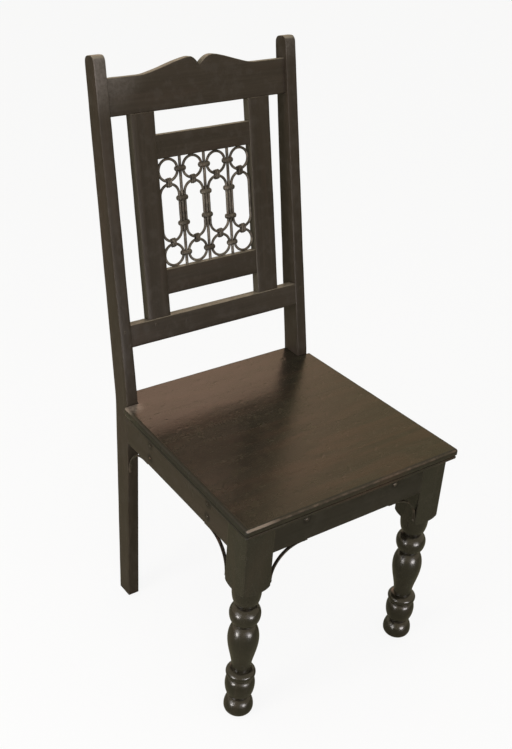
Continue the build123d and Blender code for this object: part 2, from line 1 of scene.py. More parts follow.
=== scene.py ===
import bpy
import bmesh
import math
import random
from mathutils import Matrix, Vector, noise


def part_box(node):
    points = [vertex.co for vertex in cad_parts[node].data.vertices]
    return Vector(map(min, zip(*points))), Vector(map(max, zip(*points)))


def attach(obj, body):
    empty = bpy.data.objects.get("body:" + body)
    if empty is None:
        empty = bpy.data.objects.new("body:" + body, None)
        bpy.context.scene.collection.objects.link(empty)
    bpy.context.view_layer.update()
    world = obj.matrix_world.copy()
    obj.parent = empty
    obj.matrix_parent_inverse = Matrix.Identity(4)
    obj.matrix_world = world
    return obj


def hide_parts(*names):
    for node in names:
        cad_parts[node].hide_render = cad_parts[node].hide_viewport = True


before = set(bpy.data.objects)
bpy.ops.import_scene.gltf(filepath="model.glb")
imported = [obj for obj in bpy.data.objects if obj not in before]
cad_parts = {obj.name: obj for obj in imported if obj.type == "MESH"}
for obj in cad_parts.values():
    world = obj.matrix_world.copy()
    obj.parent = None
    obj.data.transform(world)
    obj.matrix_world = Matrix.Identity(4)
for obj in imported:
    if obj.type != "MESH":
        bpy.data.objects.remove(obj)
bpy.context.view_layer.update()  # the imported nodes, in world space
scene = bpy.context.scene
mm = 0.001
across, upright = Vector((1, 0, 0)), Vector((0, 0, 1))
sides = (("left", -1), ("right", 1))
sharpAngle = 38  # degrees between faces that meet in a real edge


def addObject(name, data):
    item = bpy.data.objects.new(name, data)
    scene.collection.objects.link(item)
    return item


# Camera

cameraSettings = {
    "place": (-1.101166, -1.409626, 1.558075),  # metres, in the chair's frame
    "right": (0.813407, -0.578239, 0.06331),
    "forward": (0.527783, 0.687876, -0.498269),
    "focalPixels": 1111.379,
    "longSidePixels": 749,
    "filmWidth": 36.0,
    "farthest": 50,
}


def makeCamera(s):
    right = Vector(s["right"]).normalized()
    back = -Vector(s["forward"]).normalized()
    data = bpy.data.cameras.new("camera")
    data.sensor_width = s["filmWidth"]
    data.lens = s["filmWidth"] * s["focalPixels"] / s["longSidePixels"]
    data.clip_end = s["farthest"]
    turn = Matrix((right, back.cross(right), back)).transposed().to_4x4()
    scene.camera = addObject("camera", data)
    scene.camera.matrix_world = Matrix.Translation(s["place"]) @ turn


makeCamera(cameraSettings)
print("camera ready")


# Node trees. Sockets behave like numbers, so shader and geometry maths read as plain formulas.

def operators(operation):  # for a value on the left of the sign, and on the right
    return (lambda value, other: value.tree.maths(operation, value, other),
            lambda value, other: value.tree.maths(operation, other, value))


class Value:
    __add__, __radd__ = operators("ADD")
    __sub__, __rsub__ = operators("SUBTRACT")
    __mul__, __rmul__ = operators("MULTIPLY")
    __truediv__, __rtruediv__ = operators("DIVIDE")
    __pow__, __rpow__ = operators("POWER")

    def __init__(self, tree, socket):
        self.tree, self.socket = tree, socket

    def out(self, name):  # another output of the same node
        return Value(self.tree, self.socket.node.outputs[name])


class Tree:
    def __init__(self, nodeTree):
        self.nodeTree = nodeTree

    def add(self, kind, sockets=None, output=0, **settings):
        node = self.nodeTree.nodes.new(kind)
        for key, value in settings.items():
            setattr(node, key, value)
        for key, value in (sockets or {}).items():
            if isinstance(value, Value):
                self.nodeTree.links.new(value.socket, node.inputs[key])
            else:
                node.inputs[key].default_value = value
        return Value(self, node.outputs[output]) if len(node.outputs) else node

    def maths(self, operation, first, second=0.0):
        return self.add("ShaderNodeMath", {0: first, 1: second}, operation=operation)

    def clamp(self, value):
        return self.maths("MINIMUM", self.maths("MAXIMUM", value, 0.0), 1.0)

    def smooth(self, value, low, high):  # 0 below low and 1 above high
        return self.add("ShaderNodeMapRange", {0: value, 1: low, 2: high, 3: 0.0, 4: 1.0},
                        interpolation_type="SMOOTHSTEP")

    def vector(self, operation, first, second=(0, 0, 0), output=0):
        return self.add("ShaderNodeVectorMath", {0: first, 1: second}, output, operation=operation)

    def dot(self, first, second):
        return self.vector("DOT_PRODUCT", first, second, "Value")

    def distance(self, first, second):
        return self.vector("DISTANCE", first, second, "Value")

    def split(self, value):  # X first, and the others by their names
        return self.add("ShaderNodeSeparateXYZ", {0: value})

    def join(self, x, y, z):
        return self.add("ShaderNodeCombineXYZ", {0: x, 1: y, 2: z})

    def mix(self, factor, first, second):
        pair = [c if isinstance(c, Value) else (*c, 1) for c in (first, second)]
        return self.add("ShaderNodeMix", {0: factor, 6: pair[0], 7: pair[1]}, 2, data_type="RGBA")

    def noise(self, place, stretch, detail=2.0, rough=0.5, distortion=0.0):
        return self.add("ShaderNodeTexNoise", {
            "Vector": self.vector("MULTIPLY", place, stretch), "Scale": 1.0, "Detail": detail,
            "Roughness": rough, "Distortion": distortion})

    def bump(self, height, distance, strength=1.0, under=None):
        sockets = {"Height": height, "Distance": distance, "Strength": strength}
        if under:
            sockets["Normal"] = under
        return self.add("ShaderNodeBump", sockets)

    def normal(self):
        return self.add("ShaderNodeNewGeometry").out("Normal")

    def here(self):  # object coordinates, in metres
        return self.add("ShaderNodeTexCoord").out("Object")


def newMaterial(name):
    material = bpy.data.materials.new(name)
    material.use_nodes = True
    material.node_tree.nodes.clear()
    return material, Tree(material.node_tree)


def surface(tree, sockets):
    tree.add("ShaderNodeOutputMaterial", {"Surface": tree.add("ShaderNodeBsdfPrincipled", sockets)})


def wornEdges(tree, radius):  # 0 on flat faces, rising where an edge has been handled
    return 1.0 - tree.dot(tree.add("ShaderNodeBevel", {"Radius": radius}, samples=6), tree.normal())


# Wood. Every wooden piece carries its own grain coordinates, with X along the fibres, in metres.

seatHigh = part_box("seat_board_5")[1]
leftTop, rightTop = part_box("rear_post_left")[1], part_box("rear_post_right")[1]
frontLow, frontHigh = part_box("seat_board_1")
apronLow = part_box("apron_front")[0]

frameWood = {
    "deep": (0.0235, 0.0180, 0.0130),
    "body": (0.0325, 0.0252, 0.0188),
    "pale": (0.0395, 0.0310, 0.0230),
    "red": (0.0420, 0.0270, 0.0200),
    "redShare": 0.25,
    "mottle": (0.0440, 0.0365, 0.0310),
    "mottleShare": 0.45,
    "worn": (0.150, 0.120, 0.085),
    # pale spots: worn wood, and a painted sheen of reflected light
    "scuffedAndSheen": (0.150, 0.134, 0.124),
    "edge": 0.0024,
    "wear": 0.42,
    "dustAndSheen": 0.85,  # how far the narrow upward faces are painted pale: dust, and a painted sheen of light from above
    "dustAndSheenColour": (0.250, 0.215, 0.165),
    "gloss": (0.33, 0.50),  # roughness where it is polished and where it is dry
    "sheen": 0.28,  # specular level
    "fibre": 0.00006,  # height of the fibres
    "rubbedAndSheen": (  # place, side, reach, strength and bareness of pale spots: wood that hands have worn, and a painted sheen of reflected light on the post tops and the seat's front corner
        ((leftTop.x - 0.012, leftTop.y - 0.035, leftTop.z - 0.005), (0, -0.94, 0.34), 0.110, 0.80, 0.21),
        ((rightTop.x - 0.018, rightTop.y - 0.035, rightTop.z), (0, -0.94, 0.34), 0.055, 0.65, 0.16)),
    "stain": (0.008, 0.006, 0.005),
    "stainReach": 0.013,
    "nails": (  # the rust stains' places, right and left alike: across, along and up
        (0.0995, apronLow.y, 0.4166), (0.2135, 0.0468, 0.3902), (0.2135, 0.0468, 0.4172),
        (0.2195, -0.1552, 0.3902), (0.2195, -0.1552, 0.4172)),
}
seatWood = {
    **frameWood,
    "deep": (0.0145, 0.0112, 0.0080),
    "body": (0.0155, 0.0145, 0.0100),
    "pale": (0.0232, 0.0195, 0.0128),
    "red": (0.0460, 0.0240, 0.0155),
    "redShare": 0.30,
    "mottle": (0.0290, 0.0255, 0.0155),
    "worn": (0.210, 0.145, 0.108),
    "scuffedAndSheen": (0.235, 0.190, 0.155),
    "wear": 0.30,
    "dustAndSheen": 0.0,
    "gloss": (0.23, 0.34),
    "sheen": 0.5,
    "rubbedAndSheen": (
        # the worn rear left ear, and the front corner, worn and with a painted glint
        ((-0.2085, 0.1290, seatHigh.z), (0, 0, 1), 0.030, 1.0, 0.20),
        ((frontLow.x + 0.025, frontLow.y, frontHigh.z), (0, -0.6, 0.8), 0.050, 0.75, 0.0)),
    "nails": (),
    # painted shade on the seat's side edges
    "paintedShade": (0.006, 0.0055, 0.004),
    "outline": (0.2260, 0.0375, frontLow.y, frontHigh.z),  # half width amidships, growth forwards, front, top
}
stileWood = {
    **frameWood,
    # painted light: the stiles' sideways faces are painted paler, as if lit
    "sides": (0.058, 0.050, 0.038),
}
apronWood = {
    **frameWood,
    "deep": (0.0150, 0.0130, 0.0095),
    "body": (0.0195, 0.0172, 0.0130),
    "pale": (0.0240, 0.0208, 0.0156),
    "red": (0.0255, 0.0190, 0.0135),
    "mottle": (0.0280, 0.0245, 0.0195),
}
legWood = {
    **frameWood,
    "deep": (0.0100, 0.0082, 0.0052),
    "body": (0.0108, 0.0094, 0.0066),
    "pale": (0.0165, 0.0140, 0.0096),
    "mottle": (0.0195, 0.0165, 0.0125),
    "gloss": (0.22, 0.33),
    "wear": 0.20,
    "dustAndSheen": 0.0,
    "sheen": 0.75,
    "rubbedAndSheen": (),
    "nails": (),
}


# Layers of noise: stretch along and across the fibres in cycles per metre, detail, roughness, distortion
woodFigure = {
    "sway": ((1.3, 9, 9), 2.0),  # makes the figure wander along the board
    "broad": ((2.6, 26, 26), 3.0, 0.55, 0.4),
    "streak": ((7, 190, 190), 4.0, 0.62, 0.25),
    "fibre": ((45, 1500, 1500), 2.0, 0.6),
    "pores": ((95, 2300, 2300), 1.0),
    "tint": ((4.5, 34, 34), 2.0, 0.5, 0.6),
    "blotch": ((46, 46, 46), 4.0, 0.62),  # uneven stain and old polish
    "patches": ((60, 60, 60), 3.0, 0.6),
    "scrapes": ((170, 170, 170), 4.0, 0.7),
    "waves": ((9, 24, 24), 2.0),
    "knocks": ((75, 75, 75), 1.0),
}
woodFades = {  # where a value starts to count and where it counts in full
    "figure": (0.34, 0.64),
    "pores": (0.62, 0.72),
    "paleStreak": (0.50, 0.74),
    "paleBroad": (0.42, 0.66),
    "tint": (0.46, 0.74),
    "mottle": (0.48, 0.66),
    "edges": (0.012, 0.16),
    "patches": (0.40, 0.68),
    "bandFront": (0.0012, 0.0036),  # metres from the seat's front, side and top
    "bandSide": (0.0010, 0.0030),
    "bandTop": (-0.0055, -0.0030),
    # where the painted shade on the seat's side edges fades
    "paintedShadeSide": (0.0045, 0.0075),
    "paintedShadeRear": (0.04, 0.12),
    "warmRear": (-0.16, 0.00),
    "warmLeft": (-0.15, 0.00),
    "warmTint": (0.40, 0.60),
    "spot": (0.0, 0.8),
    "spotWay": (0.3, 0.8),
    "scuffAndSheen": (0.20, 0.42),
    "paintedSideLight": (0.60, 0.95),
    "upperFacesSheen": (0.55, 0.90),
    "stain": (0.05, 0.50),
    "dryBroad": (0.40, 0.70),
    "dryBlotch": (0.42, 0.66),
    "knocks": (0.62, 0.74),
}
woodRelief = {  # metres and strength of the planed waves, and strength of the fibres
    "planed": (0.0009, 0.5),
    "fibres": 0.8,
}


def makeWood(name, s, carried=True):
    material, t = newMaterial(name)
    here = t.here()
    grain = t.add("ShaderNodeAttribute", attribute_name="grain").out("Vector") if carried else here
    sway = t.noise(grain, *woodFigure["sway"]).out("Color")
    bent = t.vector("ADD", grain, t.vector("MULTIPLY", sway, (0, 0.012, 0.012)))

    def figure(kind, place=bent):
        return t.noise(place, *woodFigure[kind])

    def fade(value, kind):
        return t.smooth(value, *woodFades[kind])

    def fadeOut(value, kind):
        return 1.0 - fade(value, kind)

    broad, streak, tint, blotch = figure("broad"), figure("streak"), figure("tint"), figure("blotch", here)
    pores = fade(figure("pores"), "pores")
    colour = t.mix(fade(streak * 0.5 + broad * 0.5, "figure"), s["deep"], s["body"])
    for share, layer in (
            (fade(streak, "paleStreak") * fade(broad, "paleBroad"), "pale"),
            (fade(tint, "tint") * s["redShare"], "red"),
            (fade(blotch, "mottle") * s["mottleShare"], "mottle"),
            (pores * 0.45, "deep")):
        colour = t.mix(share, colour, s[layer])
    split, outwards = t.split(here), t.normal()
    sideways, along, height = t.maths("ABSOLUTE", split), split.out("Y"), split.out("Z")
    shadedSides = 0.0
    if "outline" in s:  # only the top of the moulded edge is handled
        half, growth, front, top = s["outline"]
        fromSide = half - along * growth - sideways
        band = fadeOut(along - front, "bandFront") + fadeOut(fromSide, "bandSide") * 0.12
        handled = t.clamp(band) * fade(height - top, "bandTop")
        # painted shade: the seat's side edges, short of the rear, are darkened and made a little rougher
        shadedSides = fadeOut(fromSide, "paintedShadeSide") * fadeOut(along, "paintedShadeRear")
        warm = fadeOut(along, "warmRear") * fade(split, "warmLeft") * fade(tint, "warmTint")
        colour = t.mix(warm * 0.40, colour, s["red"])  # the front boards are redder towards the right
        colour = t.mix(shadedSides * 0.80, colour, s["paintedShade"])
    else:
        handled = fade(wornEdges(t, s["edge"]), "edges")
    patchy = fade(figure("patches", here), "patches")
    wear = handled * (patchy * 0.75 + 0.25) * s["wear"]
    scraped = figure("scrapes", here)
    # pale spots: worn wood, and a painted sheen of reflected light on the post tops and the seat's front
    # corner
    for spot, way, reach, strength, bare in s["rubbedAndSheen"]:
        close = fade(1.0 - t.distance(here, spot) / reach, "spot") * fade(t.dot(outwards, way), "spotWay")
        scuffAndSheen = t.clamp(close * fade(scraped * 0.25 + handled * 0.9 + bare, "scuffAndSheen") * strength)
        colour = t.mix(scuffAndSheen, colour, s["scuffedAndSheen"])
    colour = t.mix(t.clamp(wear), colour, s["worn"])
    turned = t.split(outwards)
    if "sides" in s:  # painted light: faces turned sideways are painted paler, as if lit from the side
        colour = t.mix(fade(t.maths("ABSOLUTE", turned), "paintedSideLight"), colour, s["sides"])
    # upward faces painted pale: dust, and a painted sheen of light from above
    if s["dustAndSheen"]:
        paleTops = fade(turned.out("Z"), "upperFacesSheen") * (patchy * 0.4 + 0.6)
        colour = t.mix(paleTops * s["dustAndSheen"], colour, s["dustAndSheenColour"])
    if s["nails"]:  # rust has stained the wood round the nails
        folded = t.join(sideways, along, height)
        for spot in s["nails"]:
            close = 1.0 - t.distance(folded, spot) / s["stainReach"]
            colour = t.mix(fade(close + (scraped - 0.5) * 0.5, "stain") * 0.75, colour, s["stain"])
    dry = t.clamp(fade(broad, "dryBroad") * 0.35 + fade(blotch, "dryBlotch") * 0.25 + pores * 0.4
                  + wear * 0.5 + shadedSides)
    polished, dull = s["gloss"]
    knocks = fade(figure("knocks", here), "knocks")
    planed = t.bump(figure("waves", grain) - knocks * 0.35, *woodRelief["planed"])
    relief = streak * 0.35 + figure("fibre") * 0.5 - pores * 0.35
    surface(t, {"Base Color": colour, "Roughness": polished + dry * (dull - polished) + shadedSides * 0.10,
                "Specular IOR Level": s["sheen"],
                "Normal": t.bump(relief, s["fibre"], woodRelief["fibres"], planed)})
    return material


# Iron

grilleIron = {
    "dark": (0.048, 0.042, 0.035),
    "body": (0.104, 0.091, 0.076),
    "bright": (0.300, 0.268, 0.225),
    "rust": (0.085, 0.050, 0.032),
    "metal": 0.45,
    "gloss": (0.36, 0.56),  # roughness where it is bare and where it is scaled
    "sheen": 0.40,
    "hammer": 0.00030,  # height of the dents
    "edge": 0.0008,
}
strapIron = {
    **grilleIron,
    "dark": (0.028, 0.024, 0.019),
    "body": (0.050, 0.042, 0.033),
    "bright": (0.260, 0.225, 0.180),
}
nailIron = {
    **grilleIron,
    "body": (0.080, 0.069, 0.057),
    "bright": (0.360, 0.320, 0.270),
    "metal": 0.55,
    "gloss": (0.28, 0.46),
}
ironFigure = {  # layers of noise: how many per metre, detail and roughness
    "cloud": (55, 4.0, 0.6),
    "speck": (420, 3.0, 0.6),
    "dents": (210, 2.0, 0.5),
    "rust": (80, 3.0, 0.65),
}


def makeIron(name, s):
    material, t = newMaterial(name)
    cloud, speck, dents, rust = [t.noise(t.here(), (stretch,) * 3, detail, rough)
                                 for stretch, detail, rough in ironFigure.values()]
    rusted = t.smooth(rust, 0.53, 0.70)
    colour = t.mix(t.smooth(cloud, 0.36, 0.60), s["dark"], s["body"])
    for share, layer in (
            (t.smooth(speck * 0.5 + cloud * 0.5, 0.52, 0.68) * 0.6, "bright"),
            (rusted * 0.7, "rust"),
            (t.smooth(wornEdges(t, s["edge"]), 0.02, 0.25) * 0.6, "bright")):
        colour = t.mix(share, colour, s[layer])
    bare, scaled = s["gloss"]
    surface(t, {"Base Color": colour, "Metallic": s["metal"] * (1.0 - rusted * 0.8),
                "Roughness": bare + t.clamp(rusted * 0.8 + speck * 0.3) * (scaled - bare),
                "Specular IOR Level": s["sheen"],
                "Normal": t.bump(speck * 0.25 + dents, s["hammer"], 0.9)})
    return material


materials = {
    "frame": makeWood("frameWood", frameWood),
    "seat": makeWood("seatWood", seatWood),
    "stile": makeWood("stileWood", stileWood),
    "apron": makeWood("apronWood", apronWood),
    "turned": makeWood("turnedWood", legWood),
    "inner": makeWood("innerWood", frameWood, carried=False),
    "grille": makeIron("grilleIron", grilleIron),
    "strap": makeIron("strapIron", strapIron),
    "nail": makeIron("nailIron", nailIron),
}
print("materials ready")


# Mesh tools

grainPlaces = random.Random(41)
handMarks = {  # how uneven the hand tools have left things
    "ease": 0.45,  # share by which the rounding of an edge varies
    "easeScale": 14,  # bends per metre
    "hollows": (0.3 * mm, 0.04),  # depth and size of the hollows in a planed bar
}


def grainShift():  # every piece is cut from another place in the log
    return [grainPlaces.uniform(-3, 3) for _ in range(3)]


def uneven(*place):  # smooth noise from 0 to 1
    return 0.5 + 0.5 * noise.noise(Vector(place))


def arc(count, first=0, turn=math.pi / 2):  # cosines and sines of even steps through a turn
    return [(math.cos(turn * i / count), math.sin(turn * i / count)) for i in range(first, count + 1)]


def meshOf(name, vertices, faces=(), edges=()):
    mesh = bpy.data.meshes.new(name)
    mesh.from_pydata([tuple(v) for v in vertices], edges, faces)
    return mesh


def ringFaces(rows, ring, closed=False):  # quads between rings of points
    return [(row * ring + step, row * ring + (step + 1) % ring,
             (row + 1) % rows * ring + (step + 1) % ring, (row + 1) % rows * ring + step)
            for row in range(rows if closed else rows - 1) for step in range(ring)]


def endFaces(rows, ring):
    return [tuple(range(ring)), tuple(range((rows - 1) * ring, rows * ring))]


def setGrain(mesh, along):  # the fibres run straight through a board, whatever its outline
    side = along.orthogonal().normalized()
    axes = list(zip((along, side, along.cross(side)), grainShift()))
    layer = mesh.attributes.new("grain", "FLOAT_VECTOR", "POINT")
    layer.data.foreach_set("vector", [v.co.dot(axis) + move for v in mesh.vertices for axis, move in axes])


def wearDown(mesh, depth, size, seed, level=2.0):
    # shallow hollows, always into the material; what faces up or down by more than level stays flat
    moved = [(v, v.co - v.normal * depth * uneven(*(v.co / size + Vector((seed, 0, 0)))))
             for v in mesh.vertices if abs(v.normal.z) < level]
    for vertex, spot in moved:
        vertex.co = spot


def closeUp(mesh):  # outward faces, smooth but for the real edges
    work = bmesh.new()
    work.from_mesh(mesh)
    bmesh.ops.recalc_face_normals(work, faces=work.faces)
    work.to_mesh(mesh)
    work.free()
    mesh.shade_smooth()
    mesh.set_sharp_from_angle(angle=math.radians(sharpAngle))
    return mesh


def place(name, mesh, material, slotName, *nodes):
    mesh.materials.clear()
    mesh.materials.append(materials[material])
    piece = addObject(name, mesh)
    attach(piece, "root")
    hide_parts(*nodes)


def roundedSection(halfA, halfB, corner, cornerSteps, flatSteps):
    bends = []
    for quarter, (a, b) in enumerate(((1, 1), (-1, 1), (-1, -1), (1, -1))):
        turns = [math.pi / 2 * (quarter + step / cornerSteps) for step in range(cornerSteps + 1)]
        bends.append([(a * (halfA - corner) + corner * math.cos(turn),
                       b * (halfB - corner) + corner * math.sin(turn)) for turn in turns])
    points = []
    for quarter, bend in enumerate(bends):  # each corner, then the flat up to the next one
        points += bend
        start, target, count = bend[-1], bends[(quarter + 1) % 4][0], flatSteps[quarter % 2]
        points += [tuple(u + (v - u) * step / count for u, v in zip(start, target))
                   for step in range(1, count)]
    return points


def loft(name, stations, cornerSteps=3, flatSteps=(5, 3)):
    # a station is its centre, axes A and B, half sizes along them and corner radius
    vertices = []
    for centre, axisA, axisB, halfA, halfB, corner in stations:
        section = roundedSection(halfA, halfB, min(corner, 0.98 * min(halfA, halfB)), cornerSteps, flatSteps)
        vertices += [centre + axisA * a + axisB * b for a, b in section]
    size = len(stations), len(section)
    mesh = meshOf(name, vertices, ringFaces(*size) + endFaces(*size))
    setGrain(mesh, (stations[-1][0] - stations[0][0]).normalized())
    return closeUp(mesh)


def handEased(radius, along, seed):  # an edge eased by hand is never even
    return radius * (1.0 + handMarks["ease"] * noise.noise(Vector((along * handMarks["easeScale"], seed, 0))))


def bar(name, start, end, axisA, axisB, halfA, halfB, s, seed):
    run = end - start
    count = max(2, round(run.length / s["step"]))
    mesh = loft(name, [(start + run * (i / count), axisA, axisB, halfA, halfB,
                        handEased(s["edge"], run.length * i / count, seed)) for i in range(count + 1)])
    wearDown(mesh, *handMarks["hollows"], seed)
    return mesh


def roundedInset(radius, distance):  # how far a rounded edge stands back at a distance from its end
    near = max(0.0, radius - max(distance, 0.0))
    return radius - math.sqrt(max(0.0, radius ** 2 - near ** 2))


# The back is drawn in its own directions: across, up the rake and into the back

backFrame = {
    "rake": math.radians(11.25),
    "seatTop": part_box("seat_board_3")[1].z,
    "kneeY": seatHigh.y - 44 * mm,  # front face of the posts at seat level
}
rakeUp = Vector((0, math.sin(backFrame["rake"]), math.cos(backFrame["rake"])))
rakeIn = Vector((0, math.cos(backFrame["rake"]), -math.sin(backFrame["rake"])))


def onBack(x, up, into):
    return Vector((x, backFrame["kneeY"], backFrame["seatTop"])) + rakeUp * up + rakeIn * into


# Rear posts, sawn with a bend at the seat

postSettings = {
    "width": 23.5 * mm,
    "outer": 213.1 * mm,
    "depthKnee": 46 * mm,
    "depthTop": 33 * mm,
    "depthFoot": 37 * mm,
    "footForward": 11.4 * mm,
    "kneeDrop": 6 * mm,
    "length": 634.5 * mm,
    "topRadius": 12 * mm,
    "edge": 1.8 * mm,
    "topEase": 0.9,  # rounding of the top's sides, as a share of the edge
    "footWorn": 1.2 * mm,  # the foot's edge is knocked round
    "step": 9 * mm,
    "smoothed": 5,  # passes over the knee
    "topSteps": 8,
    "section": (4, (3, 6)),  # steps round a corner and along the flats
    "hollows": (0.35 * mm, 0.045),  # depth and size
}


def smoothLine(points, passes):
    for _ in range(passes):
        middle = [(a + b * 2 + c) / 4 for a, b, c in zip(points, points[1:], points[2:])]
        points = [points[0], *middle, points[-1]]
    return points


def postStations(s, side):
    height, kneeY = backFrame["seatTop"], backFrame["kneeY"]
    x = side * (s["outer"] - s["width"] / 2)
    low, high = round(height / s["step"]), round(s["length"] / s["step"])

    def line(foot, knee, top):
        points = [foot.lerp(knee, i / low) for i in range(low)]
        return smoothLine(points + [knee.lerp(top, i / high) for i in range(high + 1)], s["smoothed"])

    foot = Vector((x, kneeY - s["footForward"], 0))
    topFront, topRear = [onBack(x, s["length"], depth) for depth in (0, s["depthTop"])]
    front = line(foot, Vector((x, kneeY, height)), topFront)
    rear = line(foot + Vector((0, s["depthFoot"], 0)),
                Vector((x, kneeY + s["depthKnee"], height - s["kneeDrop"])), topRear)
    cut = s["topRadius"]
    pairs = [(a, b) for a, b in zip(front, rear) if (a - topFront).length > cut * 1.2 or a.z < height]
    for cosine, sine in arc(s["topSteps"]):  # rounded top
        down, inset = rakeUp * (cut * (1 - sine)), rakeIn * (cut * (1 - cosine))
        pairs.append((topFront - down + inset, topRear - down - inset))
    stations, along, last = [], 0.0, pairs[0][0]
    for a, b in pairs:
        along += (a - last).length
        last = a
        toTop = (topFront - (a + b) / 2).dot(rakeUp)
        stations.append(((a + b) / 2, across, (b - a).normalized(),
                         s["width"] / 2 - roundedInset(s["edge"] * s["topEase"], toTop),
                         (b - a).length / 2, handEased(s["edge"], along, side * 5)))
    centre, axisA, axisB, halfA, halfB, corner = stations[0]
    lifted = centre.lerp(stations[1][0], s["footWorn"] / (stations[1][0] - centre).length)
    stations[0] = (centre, axisA, axisB, halfA - s["footWorn"], halfB - s["footWorn"], corner)
    stations.insert(1, (lifted, axisA, axisB, halfA, halfB, corner))
    return stations


for number, (name, side) in enumerate(sides):
    mesh = loft("rear_post_" + name, postStations(postSettings, side), *postSettings["section"])
    wearDown(mesh, *postSettings["hollows"], number * 7.0)
    place("post_" + name, mesh, "frame", "frame_wood", "rear_post_" + name)
print("posts ready")


# Rails, stiles and the crest of the back

backSettings = {
    "railEnd": 189.6 * mm + 1.0 * mm,  # a little way into the posts
    "lowerRail": (110.5 * mm, 154.0 * mm, 1.0 * mm, 21.5 * mm),  # low, high, setback, thickness
    "panelLower": (193.3 * mm, 241.2 * mm, 6.0 * mm, 14.0 * mm),
    "panelUpper": (444.8 * mm, 488.3 * mm, 6.0 * mm, 14.0 * mm),
    "stileInner": 101.25 * mm,
    "stileWidth": 47.5 * mm,
    "stile": (154.0 * mm, 529.0 * mm, 4.0 * mm, 19.0 * mm),
    "letIn": 1 * mm,  # how far the ends go into their neighbours
    "edge": 1.7 * mm,
    "step": 8 * mm,
}
crestSettings = {
    "bottom": 529.0 * mm,
    "shoulder": 594.5 * mm,
    "peak": 616.3 * mm,
    "notch": (1.5 * mm, 599.5 * mm),
    "peaks": {"left": -18 * mm, "right": 30 * mm},
    "foot": 122 * mm,
    "innerPulls": ((0.22, 0.45), (0.6, 1.0)),
    "outerPulls": ((0.22, 1.0), (0.76, 0.0)),
    "setback": 7 * mm,
    "thickness": 17 * mm,
    "edge": 2.0 * mm,
    "sway": (0.5 * mm, 45),  # the saw's wander along the top, and bends per metre
    "steps": (14, 22, 9),  # in the inner and outer curves and in the flat end
    "section": (4, (4, 6)),
    "hollows": (0.3 * mm, 0.03),
}


def backRail(name, half, span, seed):
    low, high, setback, thickness = span
    middle = (low + high) / 2, setback + thickness / 2
    return bar(name, onBack(-half, *middle), onBack(half, *middle), rakeUp, rakeIn,
               (high - low) / 2, thickness / 2, backSettings, seed)


def stile(name, side, s):
    low, high, setback, thickness = s["stile"]
    x, into = side * (s["stileInner"] + s["stileWidth"] / 2), setback + thickness / 2
    return bar(name, onBack(x, low - s["letIn"], into), onBack(x, high + s["letIn"], into), across, rakeIn,
               s["stileWidth"] / 2, thickness / 2, s, 4.0 + side)


def bezier(start, pulls, end, base, count):
    points = [start] + [(start[0] + a * (end[0] - start[0]), base + u * (max(start[1], end[1]) - base))
                        for a, u in pulls] + [end]
    curve = []
    for step in range(count + 1):
        t = step / count
        weights = ((1 - t) ** 3, 3 * t * (1 - t) ** 2, 3 * t * t * (1 - t), t ** 3)
        curve.append(tuple(sum(w * p[axis] for w, p in zip(weights, points)) for axis in (0, 1)))
    return curve


def crestLine(s):
    halves = {}
    innerSteps, outerSteps, flatSteps = s["steps"]
    for name, side in sides:
        peak, foot = (s["peaks"][name], s["peak"]), (side * s["foot"], s["shoulder"])
        inner = bezier(s["notch"], s["innerPulls"], peak, s["notch"][1], innerSteps)
        outer = bezier(peak, s["outerPulls"], foot, s["shoulder"], outerSteps)
        run = backSettings["railEnd"] - s["foot"]
        flat = [(side * (s["foot"] + run * i / flatSteps), s["shoulder"]) for i in range(1, flatSteps + 1)]
        halves[name] = inner + outer[1:] + flat
    return halves["left"][:0:-1] + halves["right"]


def crest(s):
    stations = []
    wander, scale = s["sway"]
    for x, top in crestLine(s):
        top -= wander * uneven(x * scale, 3.0, 0)
        middle = onBack(x, (s["bottom"] + top) / 2, s["setback"] + s["thickness"] / 2)
        stations.append((middle, rakeUp, rakeIn, (top - s["bottom"]) / 2, s["thickness"] / 2,
                         handEased(s["edge"], x, 2.5)))
    mesh = loft("crest", stations, *s["section"])
    wearDown(mesh, *s["hollows"], 9.0)
    return mesh


place("crest", crest(crestSettings), "frame", "frame_wood", "crest_rail")
panelHalf = backSettings["stileInner"] + backSettings["letIn"]
for seed, (name, half, span, node) in enumerate((
        ("lower_rail", backSettings["railEnd"], "lowerRail", "lower_back_rail"),
        ("panel_top_rail", panelHalf, "panelUpper", "panel_rail_upper"),
        ("panel_bottom_rail", panelHalf, "panelLower", "panel_rail_lower")), 1):
    place(name, backRail(name, half, backSettings[span], seed), "frame", "frame_wood", node)
for name, side in sides:
    mesh = stile("stile_" + name, side, backSettings)
    place("stile_" + name, mesh, "stile", "frame_wood", "back_stile_" + name)
print("back ready")


# Seat: one outline at every level of the moulded edge, cut into boards

seatSettings = {
    "top": backFrame["seatTop"],
    "thickness": 21.4 * mm,
    "frontHalf": 236.8 * mm,
    "rearHalf": 220.9 * mm,  # at the posts
    "frontReach": 423.9 * mm,
    "rearReach": 44 * mm,
    "tongue": 189.0 * mm,  # half width between the posts
    "notch": -1.1 * mm,
    "notchRun": 30 * mm,  # how long the notch's front edge counts when it is divided
    "nose": 5.4 * mm,
    "lip": 2.0 * mm,
    "cove": (3.0 * mm, 2.4 * mm),  # depth, height
    "bead": 5.6 * mm,
    "beadBulge": 0.7,  # depth of the bead as a share of its half height
    "corner": (5.0 * mm, 0.5 * mm, 6),  # the front corners are knocked round: cut, least cut, steps
    "rearEdge": 3.0 * mm,
    "hollows": (0.35 * mm, 0.035),
    "level": 0.98,  # the flat top stays flat
    "planed": (0.9999, 0.002),  # upward normal and square metres of a dead flat face
    "step": 7 * mm,
    "joint": 0.15 * mm,
    "boards": 5,
}


